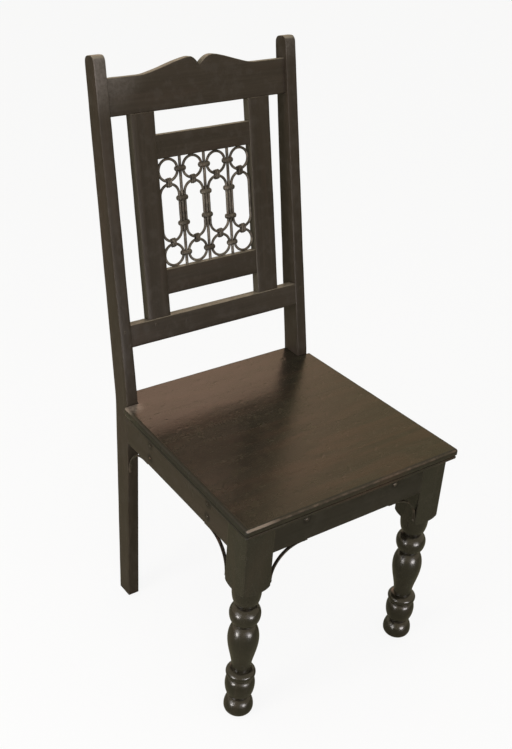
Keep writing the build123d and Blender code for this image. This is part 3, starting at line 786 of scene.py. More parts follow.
def edgeProfile(s):  # inset from the outermost line and height, from the top down
    bottom = s["top"] - s["thickness"]
    depth, tall = s["cove"]
    noseFoot, half = bottom + s["bead"] + tall, s["bead"] / 2
    rows = [(s["nose"] * (1 - sine), s["top"] - s["nose"] * (1 - cosine)) for cosine, sine in arc(6)]
    rows += [(s["lip"] * (1 - cosine), noseFoot + s["lip"] * (1 - sine)) for cosine, sine in arc(3)]
    rows += [(s["lip"] + (depth - s["lip"]) * sine, noseFoot - tall * (1 - cosine))
             for cosine, sine in arc(7, 1)]
    rows += [(depth - half * s["beadBulge"] * sine, bottom + half + half * cosine)
             for cosine, sine in arc(8, 1, math.pi)]
    return rows


def seatOutline(s, inset, height, counts):
    kneeY, tongue = backFrame["kneeY"], s["tongue"]
    slope = (s["frontHalf"] - s["rearHalf"]) / s["frontReach"]
    lean = inset * math.sqrt(1 + slope * slope)
    fromFace = min(s["top"] - height, height - (s["top"] - s["thickness"]))
    front, notchY = kneeY - s["frontReach"] + inset, kneeY + s["notch"]
    rearY = kneeY + s["rearReach"] - roundedInset(s["rearEdge"], fromFace)
    frontX, notchX = [s["rearHalf"] + slope * (kneeY - y) - lean for y in (front, notchY)]
    half = [(frontX, front), (notchX, notchY), (tongue, notchY), (tongue, rearY)]
    corners = [Vector((x, y, height)) for x, y in
               [(-frontX, front)] + half + [(-x, y) for x, y in half[:0:-1]]]
    widest, least, bend = s["corner"]
    starts, ends, bends = [], [], []
    for i, corner in enumerate(corners):
        atFront = i < 2
        reach = max(least, widest - inset) if atFront else 0.0
        starts.append(corner + (corners[i - 1] - corner).normalized() * reach)
        ends.append(corner + (corners[(i + 1) % 8] - corner).normalized() * reach)
        bends.append(bend if atFront else 1)
    points = []
    for i, count in enumerate(counts):
        for step in range(bends[i]):  # round the corner, then along the edge
            share = step / bends[i]
            points.append(starts[i] * (1 - share) ** 2 + corners[i] * 2 * share * (1 - share)
                          + ends[i] * share ** 2)
        following = starts[(i + 1) % 8]
        points += [ends[i].lerp(following, step / count) for step in range(1 if bends[i] == 1 else 0, count)]
    return points


def wholeSeat(s):
    oneSide = (s["notchRun"], s["rearReach"])
    counts = [round(length / s["step"]) for length in (
        2 * s["frontHalf"], s["frontReach"], *oneSide, 2 * s["tongue"], *oneSide[::-1], s["frontReach"])]
    levels = edgeProfile(s)
    vertices = [point for inset, height in levels for point in seatOutline(s, inset, height, counts)]
    size = len(levels), len(vertices) // len(levels)
    mesh = closeUp(meshOf("seat", vertices, endFaces(*size) + ringFaces(*size)))
    wearDown(mesh, *s["hollows"], 0.0, s["level"])
    return mesh


def cutBoard(whole, name, near, far, s):
    work = bmesh.new()
    work.from_mesh(whole)
    for y, keepFar in ((near, True), (far, False)):
        if y is None:
            continue
        everything = work.verts[:] + work.edges[:] + work.faces[:]
        cut = bmesh.ops.bisect_plane(work, geom=everything, plane_co=(0, y, 0), plane_no=(0, 1, 0),
                                     clear_inner=keepFar, clear_outer=not keepFar)
        edges = [e for e in cut["geom_cut"] if isinstance(e, bmesh.types.BMEdge)]
        bmesh.ops.contextual_create(work, geom=edges)
        bmesh.ops.bevel(work, geom=edges, offset=s["joint"], segments=2, profile=0.5, affect="EDGES")
    mesh = bpy.data.meshes.new(name)
    work.to_mesh(mesh)
    work.free()
    setGrain(mesh, across)
    closeUp(mesh)
    level, area = s["planed"]
    for face in mesh.polygons:
        if abs(face.normal.z) > level and face.area > area:
            face.use_smooth = False
    return mesh


def makeSeat(s):
    whole = wholeSeat(s)
    depth = (s["frontReach"] + s["rearReach"]) / s["boards"]
    cuts = [backFrame["kneeY"] - s["frontReach"] + number * depth for number in range(1, s["boards"])]
    for number, (near, far) in enumerate(zip([None, *cuts], [*cuts, None]), 1):
        board = cutBoard(whole, "seat_board_%d" % number, near, far, s)
        place("seat_plank_%d" % number, board, "seat", "seat_wood", "seat_board_%d" % number)
    bpy.data.meshes.remove(whole)


makeSeat(seatSettings)
print("seat ready")


# Aprons

apronSettings = {
    "low": apronLow.z,
    "high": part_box("apron_front")[1].z,
    "thickness": 19 * mm,
    "legInner": 166.65 * mm,
    "legOuter": 223.65 * mm,
    "legRear": backFrame["kneeY"] - 353.75 * mm,
    "frontFace": apronLow.y,
    "rearFace": backFrame["kneeY"] + 14 * mm,
    "sideSetback": 0.3 * mm,
    "letIn": 1 * mm,
    "edge": 1.2 * mm,
    "step": 9 * mm,
}
apronSlope = ((apronSettings["legOuter"] - postSettings["outer"])
              / (backFrame["kneeY"] - apronSettings["legRear"]))  # of the side aprons, outwards per metre


def apron(name, start, end, outward, s, seed):  # start and end lie on the outer face
    middle = upright * ((s["low"] + s["high"]) / 2) - outward * (s["thickness"] / 2)
    return bar(name, start + middle, end + middle, upright, outward, (s["high"] - s["low"]) / 2,
               s["thickness"] / 2, s, seed)


def makeAprons(s):
    for name, half, y, way, seed in (
            ("front", s["legInner"] + s["letIn"], s["frontFace"], -1, 11.0),
            ("rear", backSettings["railEnd"], s["rearFace"] + s["thickness"], 1, 12.0)):
        start, end = Vector((-half, y, 0)), Vector((half, y, 0))
        mesh = apron("apron_" + name, start, end, Vector((0, way, 0)), s, seed)
        place(name + "_apron", mesh, "apron", "frame_wood", "apron_" + name)
    for name, side in sides:
        start = Vector((side * (s["legOuter"] - s["sideSetback"]), s["legRear"], 0))
        end = Vector((side * (postSettings["outer"] - s["sideSetback"]), backFrame["kneeY"], 0))
        along = (end - start).normalized()
        outward = Vector((side * along.y, -side * along.x, 0))
        mesh = apron("apron_" + name, start - along * s["letIn"], end, outward, s, 13.0 + side)
        place("side_apron_" + name, mesh, "frame", "frame_wood", "apron_" + name)


makeAprons(apronSettings)
print("aprons ready")


# Geometry nodes

def newNodes(name, *inputs):  # the group, its tree and its inputs, of which the material is the last
    group = bpy.data.node_groups.new(name, "GeometryNodeTree")
    for way in ("INPUT", "OUTPUT"):
        group.interface.new_socket("Geometry", in_out=way, socket_type="NodeSocketGeometry")
    for label, kind, default in (*inputs, ("Material", "Material", None)):
        item = group.interface.new_socket(label, in_out="INPUT", socket_type="NodeSocket" + kind)
        if default is not None:
            item.default_value = default
    t = Tree(group)
    return group, t, t.add("NodeGroupInput")


def runNodes(name, mesh, group, values):  # the evaluated result as a plain mesh
    holder = addObject(name, mesh)
    modifier = holder.modifiers.new("nodes", "NODES")
    modifier.node_group = group
    for item in group.interface.items_tree:
        if item.in_out == "INPUT" and item.name in values:
            modifier[item.identifier] = values[item.name]
    graph = bpy.context.evaluated_depsgraph_get()
    made = bpy.data.meshes.new_from_object(holder.evaluated_get(graph))
    made.name = name
    holder.modifiers.remove(modifier)
    bpy.data.objects.remove(holder)
    return made


def ending(t, geometry, given):
    real = t.add("GeometryNodeRealizeInstances", {0: geometry})
    painted = t.add("GeometryNodeSetMaterial", {"Geometry": real, "Material": given.out("Material")})
    t.add("NodeGroupOutput", {0: painted})


def lineMesh(name, points, closed=False):
    edges = [(i, i + 1) for i in range(len(points) - 1)]
    if closed:
        edges.append((len(points) - 1, 0))
    return meshOf(name, points, [], edges)


# Turned front legs: a profile spun round the leg's axis and squared off to the block

legSettings = {
    "block": 57.0 * mm,
    "cornerPower": 36.0,  # squareness of the block's corners
    "top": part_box("front_leg_left")[1].z,
    "blockBottom": 305.0 * mm,
    "blockRows": 12,
    "spare": 1.02,  # the block's profile goes past its corners and is cut back
    "shoulder": (11.0 * mm, 1.15, 18),  # height, power of its swell and steps
    "around": 208,
    "foot": 19.5 * mm,
    "footWorn": 3 * mm,
    "turnings": (  # waist radius and height, then belly radius and height
        (19.5, 0.0, 27.3, 13.0), (16.2, 36.5, 27.6, 67.0), (21.6, 84.5, 27.3, 94.4),
        (17.4, 103.5, 28.4, 176.7), (16.2, 209.5, 28.4, 234.0), (16.0, 252.5, 26.5, 286.0)),
    "vase": 3,  # the turning with a long hollow taper
    "steps": (14, 34),  # in half a bulge, and in the taper
    "bulgeFrom": math.pi / 2 * 0.14,  # where a bulge's quarter turn starts at the waist
}


def halfBelly(waist, belly, s, slack=False):
    # half a bulge from the waist out to the belly, as radius and height
    first, count = s["bulgeFrom"], s["steps"][slack]
    points = []
    for i in range(count):
        share = i / count
        if slack:
            out, rise = share * share * (3 - 2 * share), share
        else:
            angle = first + (math.pi / 2 - first) * share
            out = (math.sin(angle) - math.sin(first)) / (1 - math.sin(first))
            rise = (math.cos(first) - math.cos(angle)) / math.cos(first)
        points.append((waist[0] + (belly[0] - waist[0]) * out, waist[1] + (belly[1] - waist[1]) * rise))
    return points


def legProfile(s):
    turnings = [tuple(v * mm for v in row) for row in s["turnings"]]
    points = [(0.0, 0.0), (s["foot"] - s["footWorn"], 0.0)]
    for number, row in enumerate(turnings):
        waist, belly = row[:2], row[2:]
        points += halfBelly(waist, belly, s, number == s["vase"]) + [belly]
        if number + 1 < len(turnings):
            points += halfBelly(turnings[number + 1][:2], belly, s)[:0:-1]
    cup, (drop, power, steps) = turnings[-1][2], s["shoulder"]
    crease, corner = s["blockBottom"] - drop, s["block"] / math.sqrt(2)
    points.append((cup, crease))
    points += [(cup + (corner - cup) * sine ** power, crease + drop * (1 - cosine))
               for cosine, sine in arc(steps, 1)]  # rounded shoulder under the block
    rise = (s["top"] - s["blockBottom"]) / s["blockRows"]
    points += [(corner * s["spare"], s["blockBottom"] + rise * i) for i in range(1, s["blockRows"] + 1)]
    points.append((0.0, s["top"]))
    return [Vector((radius, 0, height)) for radius, height in points]


def latheNodes():
    # copies of the profile's points are turned about the axis on a grid, so that no sweep can twist them
    group, t, given = newNodes(
        "turnedLeg", ("Around", "Int", 64), ("Half Block", "Float", 0.03), ("Corner Power", "Float", 20.0),
        ("Axis", "Vector", (0, 0, 0)), ("Grain Shift", "Vector", (0, 0, 0)))
    around, power = given.out("Around"), given.out("Corner Power")
    rows = t.add("GeometryNodeAttributeDomainSize", {0: given}, component="MESH")
    grid = t.add("GeometryNodeMeshGrid", {
        "Size X": 1.0, "Size Y": 1.0, "Vertices X": around, "Vertices Y": rows})
    index = t.add("GeometryNodeInputIndex")
    radius = t.split(t.add("GeometryNodeSampleIndex", {
        "Geometry": given, "Value": t.add("GeometryNodeInputPosition"),
        "Index": t.maths("FLOORED_MODULO", index, rows)}, data_type="FLOAT_VECTOR", domain="POINT"))
    height = radius.out("Z")
    angle = t.maths("FLOOR", index / rows) * (2 * math.pi) / (around - 1.0)
    cosine, sine = t.maths("COSINE", angle), t.maths("SINE", angle)
    square = t.maths("ABSOLUTE", cosine) ** power + t.maths("ABSOLUTE", sine) ** power
    reach = t.maths("MINIMUM", radius, given.out("Half Block") / square ** (1.0 / power))
    x, y = reach * cosine, reach * sine
    shaped = t.add("GeometryNodeSetPosition", {
        "Geometry": grid, "Position": t.vector("ADD", t.join(x, y, height), given.out("Axis"))})
    stored = t.add("GeometryNodeStoreNamedAttribute", {
        "Geometry": shaped, "Name": "grain",
        "Value": t.vector("ADD", t.join(height, x, y), given.out("Grain Shift"))},
        data_type="FLOAT_VECTOR", domain="POINT")
    ending(t, t.add("GeometryNodeMergeByDistance", {"Geometry": stored, "Distance": 0.00001}), given)
    return group


legNodes = latheNodes()
for name, side in sides:
    low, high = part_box("front_leg_" + name)
    axis = (low + high) / 2
    mesh = closeUp(runNodes("front_leg_" + name, lineMesh("leg_profile", legProfile(legSettings)), legNodes, {
        "Around": legSettings["around"] + 1, "Half Block": legSettings["block"] / 2,
        "Corner Power": legSettings["cornerPower"], "Axis": (axis.x, axis.y, 0.0),
        "Grain Shift": grainShift(), "Material": materials["turned"]}))
    place("turned_leg_" + name, mesh, "turned", "frame_wood", "front_leg_" + name)
print("legs ready")


# Iron grille

grilleSettings = {
    "wire": 2.65 * mm,  # radius of the rings and loops
    "rod": 2.9 * mm,
    "ring": 20.2 * mm,
    "into": 13 * mm,
    "pitch": 52.07 * mm,
    "ringTop": 421.65 * mm,
    "ringBottom": 264.35 * mm,
    "knotTop": 398.7 * mm,
    "knotBottom": 287.3 * mm,
    "loopTop": 375.75 * mm,
    "loopBottom": 310.25 * mm,
    "rodLow": 233.2 * mm,
    "rodHigh": 452.8 * mm,
    "uneven": (0.22 * mm, 60),  # how far a bent wire wanders, and bends per metre
    "upperDrops": (8.1 * mm, 4.4 * mm, 5.6 * mm),
    "lowerLifts": (10.6 * mm, 16.5 * mm, 5.5 * mm),
    "beaten": (2.2 * mm, 0.16 * mm),  # spacing of its points and depth of the hammering
    "around": 14,
    "dents": (130.0, 0.72),  # how many per metre, and the level of the untouched wire
    "steps": (30, 48, 24, 12),  # in a rod, a ring, a loop's bend and a loop's side
}


def wireNodes(s):
    dentScale, dentLevel = s["dents"]
    group, t, given = newNodes(
        "forgedWire", ("Radius", "Float", 0.002), ("Spacing", "Float", 0.002), ("Hammer", "Float", 0.0002))
    path = t.add("GeometryNodeResampleCurve", {
        "Curve": t.add("GeometryNodeMeshToCurve", {0: given}), "Length": given.out("Spacing")}, mode="LENGTH")
    circle = t.add("GeometryNodeCurvePrimitiveCircle", {
        "Resolution": s["around"], "Radius": given.out("Radius")})
    tube = t.add("GeometryNodeCurveToMesh", {"Curve": path, "Profile Curve": circle, "Fill Caps": True})
    dents = t.add("ShaderNodeTexNoise", {
        "Vector": t.add("GeometryNodeInputPosition"), "Scale": dentScale, "Detail": 2.0})
    depth = (dents - dentLevel) * given.out("Hammer") * 2.0
    push = t.add("ShaderNodeVectorMath", {
        0: t.add("GeometryNodeInputNormal"), "Scale": depth}, operation="SCALE")
    ending(t, t.add("GeometryNodeSetPosition", {"Geometry": tube, "Offset": push}), given)
    return group


wireTree = wireNodes(grilleSettings)


def forged(name, points, closed, radius, spacing, hammer):
    return runNodes(name, lineMesh(name, points, closed), wireTree, {
        "Radius": radius, "Spacing": spacing, "Hammer": hammer, "Material": materials["grille"]})


def wirePiece(name, points, closed, radius):
    mesh = closeUp(forged(name, points, closed, radius, *grilleSettings["beaten"]))
    place(name, mesh, "grille", "grille_iron", "grille_" + name)


def bentPoint(g, x, up, seed):
    depth, scale = g["uneven"]
    wander = [depth * noise.noise(Vector((x * scale, up * scale, seed + axis * 10))) for axis in range(3)]
    return onBack(x + wander[0], up + wander[1], g["into"] + wander[2])


def makeGrille(g):
    rodSteps, ringSteps, bendSteps, sideSteps = g["steps"]
    columns = [(i - 1.5) * g["pitch"] for i in range(4)]
    rods = [x + g["pitch"] / 2 for x in columns[:-1]]
    for number, x in enumerate(rods, 1):
        run = (g["rodHigh"] - g["rodLow"]) / rodSteps
        points = [bentPoint(g, x, g["rodLow"] + run * i, number) for i in range(rodSteps + 1)]
        wirePiece("rod_%d" % number, points, False, g["rod"])
    for number, x in enumerate(columns, 1):
        for where, height in (("top", g["ringTop"]), ("bottom", g["ringBottom"])):
            points = [bentPoint(g, x + g["ring"] * cosine, height + g["ring"] * sine, 20 + number)
                      for cosine, sine in arc(ringSteps, 0, 2 * math.pi)[:-1]]
            wirePiece("ring_%s_%d" % (where, number), points, True, g["wire"])
        points = []
        for reach, near, far in ((g["ring"], g["loopTop"], g["loopBottom"]),
                                 (-g["ring"], g["loopBottom"], g["loopTop"])):
            points += [bentPoint(g, x + reach * cosine, near + reach * sine, 40 + number)
                       for cosine, sine in arc(bendSteps, 0, math.pi)]
            points += [bentPoint(g, x - reach, near + (far - near) * i / sideSteps, 40 + number)
                       for i in range(1, sideSteps)]
        wirePiece("loop_%d" % number, points, True, g["wire"])
    return columns, rods


columns, rods = makeGrille(grilleSettings)


# Collars round the rods and wire bindings where the rings meet the loops

collarSettings = {
    "halfLength": 12.0 * mm,
    "halfDepth": 6.0 * mm,
    "height": 8.5 * mm,
    "wall": 3.0 * mm,
    "roll": (1.9 * mm, 2.6),  # how far the edges turn in, and power of the swell
    "rim": 0.94,  # height inside, as a share of the height
}
knotSettings = {
    "halfLength": 9.3 * mm,
    "halfDepth": 6.3 * mm,
    "width": 13 * mm,
    "turns": 3,
    "steps": 26,  # in a turn
    "start": 0.4,
    "wire": 1.5 * mm,
    "swell": (0.16, 0.05, 0.11),  # towards the middle, unevenness and its scale
    "slant": (0.9 * mm, 0.3 * mm, 0.17),
    "beaten": (1.3 * mm, 0.12 * mm),
}


def bandMesh(s):  # a swelled band, long in X, deep in Y, standing in Z
    straight = s["halfLength"] - s["halfDepth"]
    around = [(end * straight, end * sine, -end * cosine)
              for end in (1, -1) for cosine, sine in arc(12, 0, math.pi)]
    (roll, power), half, inner = s["roll"], s["height"] / 2, s["halfDepth"] - s["wall"]
    section = [(s["halfDepth"] - roll * abs(i / 5 - 1) ** power, (i / 5 - 1) * half) for i in range(11)]
    section += [(inner, half * s["rim"]), (inner, -half * s["rim"])]
    vertices = [(x + radius * c, radius * n, z) for x, c, n in around for radius, z in section]
    return closeUp(meshOf("band", vertices, ringFaces(len(around), len(section), True)))


def scatterNodes():
    group, t, given = newNodes(
        "setOnPoints", ("Part", "Object", None), ("Size Change", "Float", 0.0), ("Turn", "Float", 0.0),
        ("Seed", "Int", 1))
    seed = given.out("Seed")
    vary, spin = [t.add("FunctionNodeRandomValue", {2: -1.0, 3: 1.0, "Seed": value}, 1, data_type="FLOAT")
                  for value in (seed, seed + 7)]
    facing = t.add("GeometryNodeInputNamedAttribute", {"Name": "facing"}, data_type="FLOAT_VECTOR")
    own = t.add("FunctionNodeEulerToRotation", {0: t.join(0.0, 0.0, spin * given.out("Turn"))})
    faced = t.add("FunctionNodeAlignRotationToVector", {"Vector": facing}, axis="Z")
    turned = t.add("FunctionNodeRotateRotation", {
        "Rotation": faced, "Rotate By": own}, rotation_space="LOCAL")
    part = t.add("GeometryNodeObjectInfo", {"Object": given.out("Part")}, "Geometry")
    ending(t, t.add("GeometryNodeInstanceOnPoints", {
        "Points": given, "Instance": part, "Rotation": turned,
        "Scale": 1.0 + vary * given.out("Size Change")}), given)
    return group


scatterTree = scatterNodes()


def scattered(name, partMesh, spots, material, slotName, node, change, turn, seed):
    # spots are places with the direction that each copy faces
    part = bpy.data.objects.new(name + "_part", partMesh)
    points = meshOf(name + "_points", [where for where, facing in spots])
    layer = points.attributes.new("facing", "FLOAT_VECTOR", "POINT")
    layer.data.foreach_set("vector", [c for where, facing in spots for c in facing])
    mesh = closeUp(runNodes(name, points, scatterTree, {
        "Part": part, "Size Change": change, "Turn": turn, "Seed": seed, "Material": materials[material]}))
    bpy.data.objects.remove(part)
    place(name, mesh, material, slotName, node)


def collarSpots(g):
    heights = [[g["ringTop"]] * 3, [g["loopTop"] - drop for drop in g["upperDrops"]],
               [g["loopBottom"] + lift for lift in g["lowerLifts"]], [g["ringBottom"]] * 3]
    return [(onBack(x, height, g["into"]), rakeUp) for row in heights for x, height in zip(rods, row)]


def knotSpots(g):
    return [(onBack(x, g[where], g["into"]), rakeUp) for where in ("knotTop", "knotBottom") for x in columns]


def knotMesh(s):  # wire wound round the two wires that it binds
    straight, reach = s["halfLength"] - s["halfDepth"], s["halfDepth"] - s["wire"]
    (bulge, wobble, wobbleScale), (lean, drift, driftScale) = s["swell"], s["slant"]
    count = s["turns"] * s["steps"]
    points = []
    for i in range(count + 1):
        angle = 2 * math.pi * i / s["steps"] + s["start"]
        cosine, sine = math.cos(angle), math.sin(angle)
        x = (s["width"] / 2 - s["wire"]) * (i / count * 2 - 1)
        bend = wobble * noise.noise(Vector((i * wobbleScale, 0, 4.0)))
        swell = 1.0 - bulge * (x / s["width"] * 2) ** 2 + bend
        slant = lean * sine + drift * noise.noise(Vector((i * driftScale, 2.0, 0)))
        lift = straight if sine > 0 else -straight
        points.append(Vector((x + slant, reach * swell * cosine, (reach * sine + lift) * swell)))
    return forged("knot", points, False, s["wire"], *s["beaten"])


for name, mesh, spots, change, turn, seed in (
        ("collars", bandMesh(collarSettings), collarSpots(grilleSettings), 0.03, 0.03, 5),
        ("knots", knotMesh(knotSettings), knotSpots(grilleSettings), 0.04, 0.1, 9)):
    scattered(name, mesh, spots, "grille", "grille_iron", "grille_" + name, change, turn, seed)
print("grille ready")


# Straps, nails and pegs

nailSettings = {  # a head is its radius, height, corners and whether it is domed
    "flat": (2.6 * mm, 1.4 * mm, 12, False),
    "dome": (4.4 * mm, 2.0 * mm, 20, True),
    "peg": (3.0 * mm, 0.4 * mm, 10, False),
    "rim": 0.45,  # height of a flat head's rim, as a share of the head's
    "sunk": 0.3 * mm,
    "uneven": 0.10,
    "domeSpots": (99.5 * mm, 416.6 * mm),  # from the middle, and height
    "bearerPlaces": (backFrame["kneeY"] - 290 * mm, backFrame["kneeY"] - 88 * mm),
    "bearerHeights": (390.15 * mm, 417.15 * mm),
    "pegHeight": 143.5 * mm,
    "pegSpots": ((202.6 * mm, 0.0), (135.75 * mm, 1.0 * mm)),  # across, and depth of the face
    "change": 0.02,  # how far the sizes and the turns of copies vary
    "turn": 3.1,
}
strapSettings = {
    "hollow": 58 * mm,
    "thickness": 2.5 * mm,
    "width": 6.5 * mm,
    "setback": 0.8 * mm,
    "apronTab": 13 * mm,
    "legTab": 5 * mm,
    "gap": 0.2 * mm,
    "edge": 0.45 * mm,
    "uneven": (0.05, 120),  # share by which the width varies, and bends per metre
    "section": (3, (4, 3)),
    "hollows": (0.12 * mm, 0.006),
}


def headMesh(name, head, seed, s):
    # a forged head seen from above: rings of corners rise to the middle, with its foot in the wood
    radius, height, corners, dome = head
    rim, variation = (0.0, 0.0) if dome else (s["rim"], s["uneven"])
    rings = [(radius, -s["sunk"]), (radius, height * rim)]
    rings += [(radius * cosine, height * (rim + (1 - rim) * sine)) for cosine, sine in arc(5, 1)[:-1]]
    circle = [(cosine, sine, 1.0 - variation * uneven(cosine, sine, seed))
              for cosine, sine in arc(corners, 0, 2 * math.pi)[:-1]]
    vertices = [(r * share * cosine, r * share * sine, z) for r, z in rings for cosine, sine, share in circle]
    vertices += [(0, 0, -s["sunk"]), (0, 0, height)]
    faces = ringFaces(len(rings), corners)
    for first, tip in ((0, len(vertices) - 2), ((len(rings) - 1) * corners, len(vertices) - 1)):
        faces += [(first + i, first + (i + 1) % corners, tip) for i in range(corners)]
    return closeUp(meshOf(name, vertices, faces))


def sideApronFace(y):  # distance of a side apron's outer face from the middle
    return postSettings["outer"] - apronSettings["sideSetback"] + apronSlope * (backFrame["kneeY"] - y)


def strapPlaces(s):  # name, corner of leg and apron, way along the apron and way into the wood
    a = apronSettings
    endHeight = a["low"] - s["hollow"] - s["thickness"] - s["legTab"]
    forward = postSettings["footForward"] * (1 - endHeight / backFrame["seatTop"])
    postY = backFrame["kneeY"] - forward - s["gap"]
    legY, rearY = a["legRear"] + s["gap"], a["rearFace"] + a["thickness"] - s["setback"]
    found = []
    for name, side in sides:
        along = Vector((-side * apronSlope, 1, 0)).normalized()
        inward = Vector((-side * along.y, side * along.x, 0))
        toMiddle = across * -side
        for label, x, y, way, into in (
                ("front_" + name, a["legInner"], a["frontFace"] + s["setback"], toMiddle, Vector((0, 1, 0))),
                (name + "_front", sideApronFace(legY) - s["setback"], legY, along, inward),
                (name + "_rear", sideApronFace(postY) - s["setback"], postY, -along, inward),
                ("rear_" + name, postSettings["outer"] - postSettings["width"], rearY, toMiddle,
                 Vector((0, -1, 0)))):
            found.append((label, Vector((side * x, y, a["low"])), way, into))
    return found


def strapMesh(name, corner, along, inward, s, seed):
    reach, middle = s["hollow"] + s["thickness"], s["thickness"] / 2
    bend = reach - middle
    line = [(middle, -reach - s["legTab"] + s["legTab"] * i / 3, (1, 0)) for i in range(3)]
    line += [(reach - bend * cosine, -reach + bend * sine, (cosine, -sine)) for cosine, sine in arc(24)]
    line += [(reach + s["apronTab"] * i / 4, -middle, (0, -1)) for i in range(1, 5)]
    share, scale = s["uneven"]
    stations, travel, last = [], 0.0, line[0][:2]
    for a, b, facing in line:
        travel += math.dist(last, (a, b))
        last = (a, b)
        wobble = 1 - share * uneven(travel * scale, seed, 0)
        stations.append((corner + along * a + upright * b + inward * (s["width"] / 2), inward,
                         along * facing[0] + upright * facing[1], s["width"] / 2 * wobble,
                         s["thickness"] / 2 * wobble, s["edge"]))
    mesh = loft(name, stations, *s["section"])
    wearDown(mesh, *s["hollows"], seed)
    return mesh


def makeStraps(s):  # the straps themselves, and the spots of their nails
    spots = []
    reach = s["hollow"] + s["thickness"]
    for seed, (name, corner, along, inward) in enumerate(strapPlaces(s)):
        place("strap_" + name, strapMesh("strap_" + name, corner, along, inward, s, seed * 3.0),
              "strap", "strap_iron", "bracket_" + name)
        middle = corner + inward * (s["width"] / 2)
        spots.append((middle + along * (reach + s["apronTab"] / 2) - upright * s["thickness"], -upright))
        spots.append((middle + along * s["thickness"] - upright * (reach + s["legTab"] / 2), along))
    return spots


def domeSpots(s):
    x, height = s["domeSpots"]
    return [(Vector((side * x, apronSettings["frontFace"], height)), Vector((0, -1, 0)))
            for name, side in sides]


def sideNailSpots(s):
    lean = math.atan(apronSlope)
    return [(Vector((side * sideApronFace(y), y, height)), Vector((side * math.cos(lean), math.sin(lean), 0)))
            for name, side in sides for y in s["bearerPlaces"] for height in s["bearerHeights"]]


def pegSpots(s):
    return [(onBack(side * x, s["pegHeight"], depth), -rakeIn)
            for name, side in sides for x, depth in s["pegSpots"]]


def makeNails(s):
    for seed, (name, head, spots, material, slotName, node, headSeed) in enumerate((
            ("strap_nails", "flat", makeStraps(strapSettings), "nail", "nail_iron", "bracket_nails", 1.0),
            ("dome_nails", "dome", domeSpots(s), "nail", "nail_iron", "apron_nails", 2.0),
            ("side_nails", "flat", sideNailSpots(s), "nail", "nail_iron", "apron_nails", 3.0),
            ("pegs", "peg", pegSpots(s), "inner", "peg_wood", "draw_pegs", 6.0)), 3):
        mesh = headMesh(name + "_head", s[head], headSeed, s)
        scattered(name, mesh, spots, material, slotName, node, s["change"], s["turn"], seed)


makeNails(nailSettings)
print("straps and nails ready")


# CAD pieces under the seat keep their shape

for node, material in (("seat_bearer_front", "inner"), ("seat_bearer_rear", "inner"),
                       ("seat_screws", "strap")):
    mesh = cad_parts[node].data
    mesh.materials.clear()
    mesh.materials.append(materials[material])


# Floor, lamps and surroundings

stageSettings = {
    "floorHalf": 30.0,
    "floorColour": (0.80, 0.80, 0.80),
    "floorGlow": 0.88,  # share of plain white that the camera sees over the lit floor
    "bounce": (0.30, 0.285, 0.195),  # the floor's colour in the light that it throws back
    "surround": (0.60, 0.59, 0.55),  # light from all round
    "mirrored": (0.68, 0.59, 0.41),  # how the surroundings look in a polished surface
    # bright places seen only in the polish: way, cosines at which one fades out and is full, colour
    "bright": (
        ((0.585, 0.61, 0.535), 0.900, 0.985, (0.67, 0.53, 0.285)),
        ((0.38, 0.778, 0.50), 0.955, 0.996, (2.05, 1.31, 0.95)),
        ((-0.957, 0.0, 0.290), 0.930, 0.985, (2.6, 2.45, 2.35)),
        ((-0.049, -0.983, 0.177), 0.930, 0.985, (2.4, 2.25, 2.2))),
}
lampSettings = {  # place, what it points at, width, height, beam in degrees, watts, colour, polish or not
    "cornerSoftbox": ((-1.7, -2.7, 1.00), (0, 0, 0.75), 1.3, 1.5, 150, 26, (1.0, 0.945, 0.93), False),
    "leftSoftbox": ((-3.0, -0.25, 1.35), (0, 0, 0.85), 1.3, 1.5, 100, 19, (1.0, 0.95, 0.92), False),
    "frontSoftbox": ((-0.35, -3.3, 0.80), (0, 0, 0.70), 1.3, 1.5, 150, 9, (1.0, 0.94, 0.95), False),
    "topSoftbox": ((-0.6, -0.2, 3.2), (0, 0, 0.5), 2.0, 2.0, 180, 12, (1.0, 0.97, 0.94), False),
    "leftGlint": ((-1.7, -0.42, 0.22), (0, -0.25, 0.22), 0.45, 0.40, 180, 9, (1.0, 0.95, 0.93), True),
    "frontGlint": ((0.15, -2.0, 0.22), (0.22, -0.25, 0.22), 0.80, 0.40, 60, 1.6, (1.0, 0.95, 0.95), True),
}


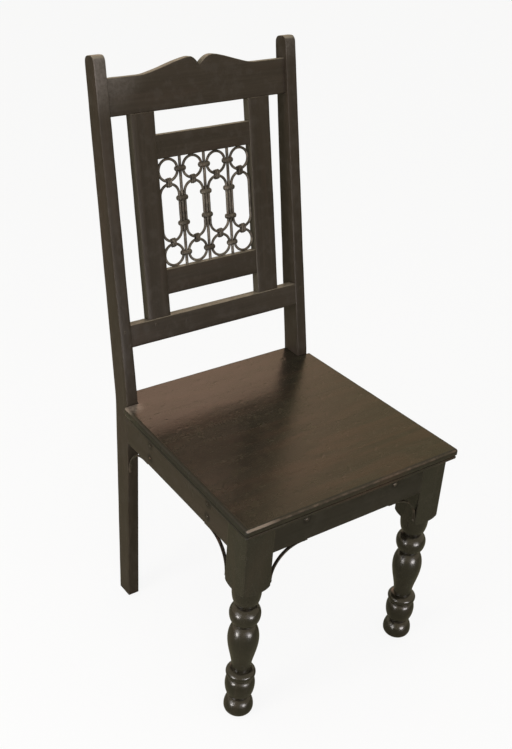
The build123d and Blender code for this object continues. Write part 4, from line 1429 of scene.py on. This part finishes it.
def makeFloor(s):
    half = s["floorHalf"]
    corners = [(x * half, y * half, 0) for x, y in ((-1, -1), (1, -1), (1, 1), (-1, 1))]
    mesh = meshOf("floor", corners, [(0, 1, 2, 3)])
    material, t = newMaterial("paleFloor")
    seen = t.add("ShaderNodeLightPath").out("Is Camera Ray")
    lit = t.add("ShaderNodeBsdfDiffuse", {"Color": t.mix(seen, s["bounce"], s["floorColour"])})
    white = t.add("ShaderNodeEmission", {"Color": (1, 1, 1, 1), "Strength": 1.0})
    t.add("ShaderNodeOutputMaterial", {
        "Surface": t.add("ShaderNodeMixShader", {0: seen * s["floorGlow"], 1: lit, 2: white})})
    mesh.materials.append(material)
    floor = addObject("floor", mesh)


def makeRoom(s):
    world = bpy.data.worlds.new("room")
    world.use_nodes = True
    world.node_tree.nodes.clear()
    t = Tree(world.node_tree)
    path = t.add("ShaderNodeLightPath")
    way = t.vector("NORMALIZE", t.add("ShaderNodeTexCoord").out("Generated"))
    shine = s["mirrored"]
    for towards, faded, full, colour in s["bright"]:
        shine = t.mix(t.smooth(t.dot(way, towards), faded, full), shine, colour)
    light = t.mix(path.out("Is Glossy Ray"), s["surround"], shine)
    light = t.mix(path.out("Is Camera Ray"), light, (1, 1, 1))
    background = t.add("ShaderNodeBackground", {"Color": light, "Strength": 1.0})
    t.add("ShaderNodeOutputWorld", {"Surface": background})
    scene.world = world


def makeLamp(name, where, aim, width, height, beam, watts, colour, polish):
    data = bpy.data.lights.new(name, "AREA")
    data.shape = "RECTANGLE"
    data.size, data.size_y = width, height
    data.spread = math.radians(beam)
    data.energy = watts
    data.color = colour
    lamp = addObject(name, data)
    turn = (Vector(where) - Vector(aim)).to_track_quat("Z", "Y").to_matrix().to_4x4()
    lamp.matrix_world = Matrix.Translation(where) @ turn
    lamp.visible_camera = False
    lamp.visible_glossy = polish  # a lamp lights the surfaces or shows in their polish, never both
    lamp.visible_diffuse = not polish


makeFloor(stageSettings)
makeRoom(stageSettings)
for lampName, values in lampSettings.items():
    makeLamp(lampName, *values)
scene.view_settings.view_transform = "Standard"
print("stage ready")
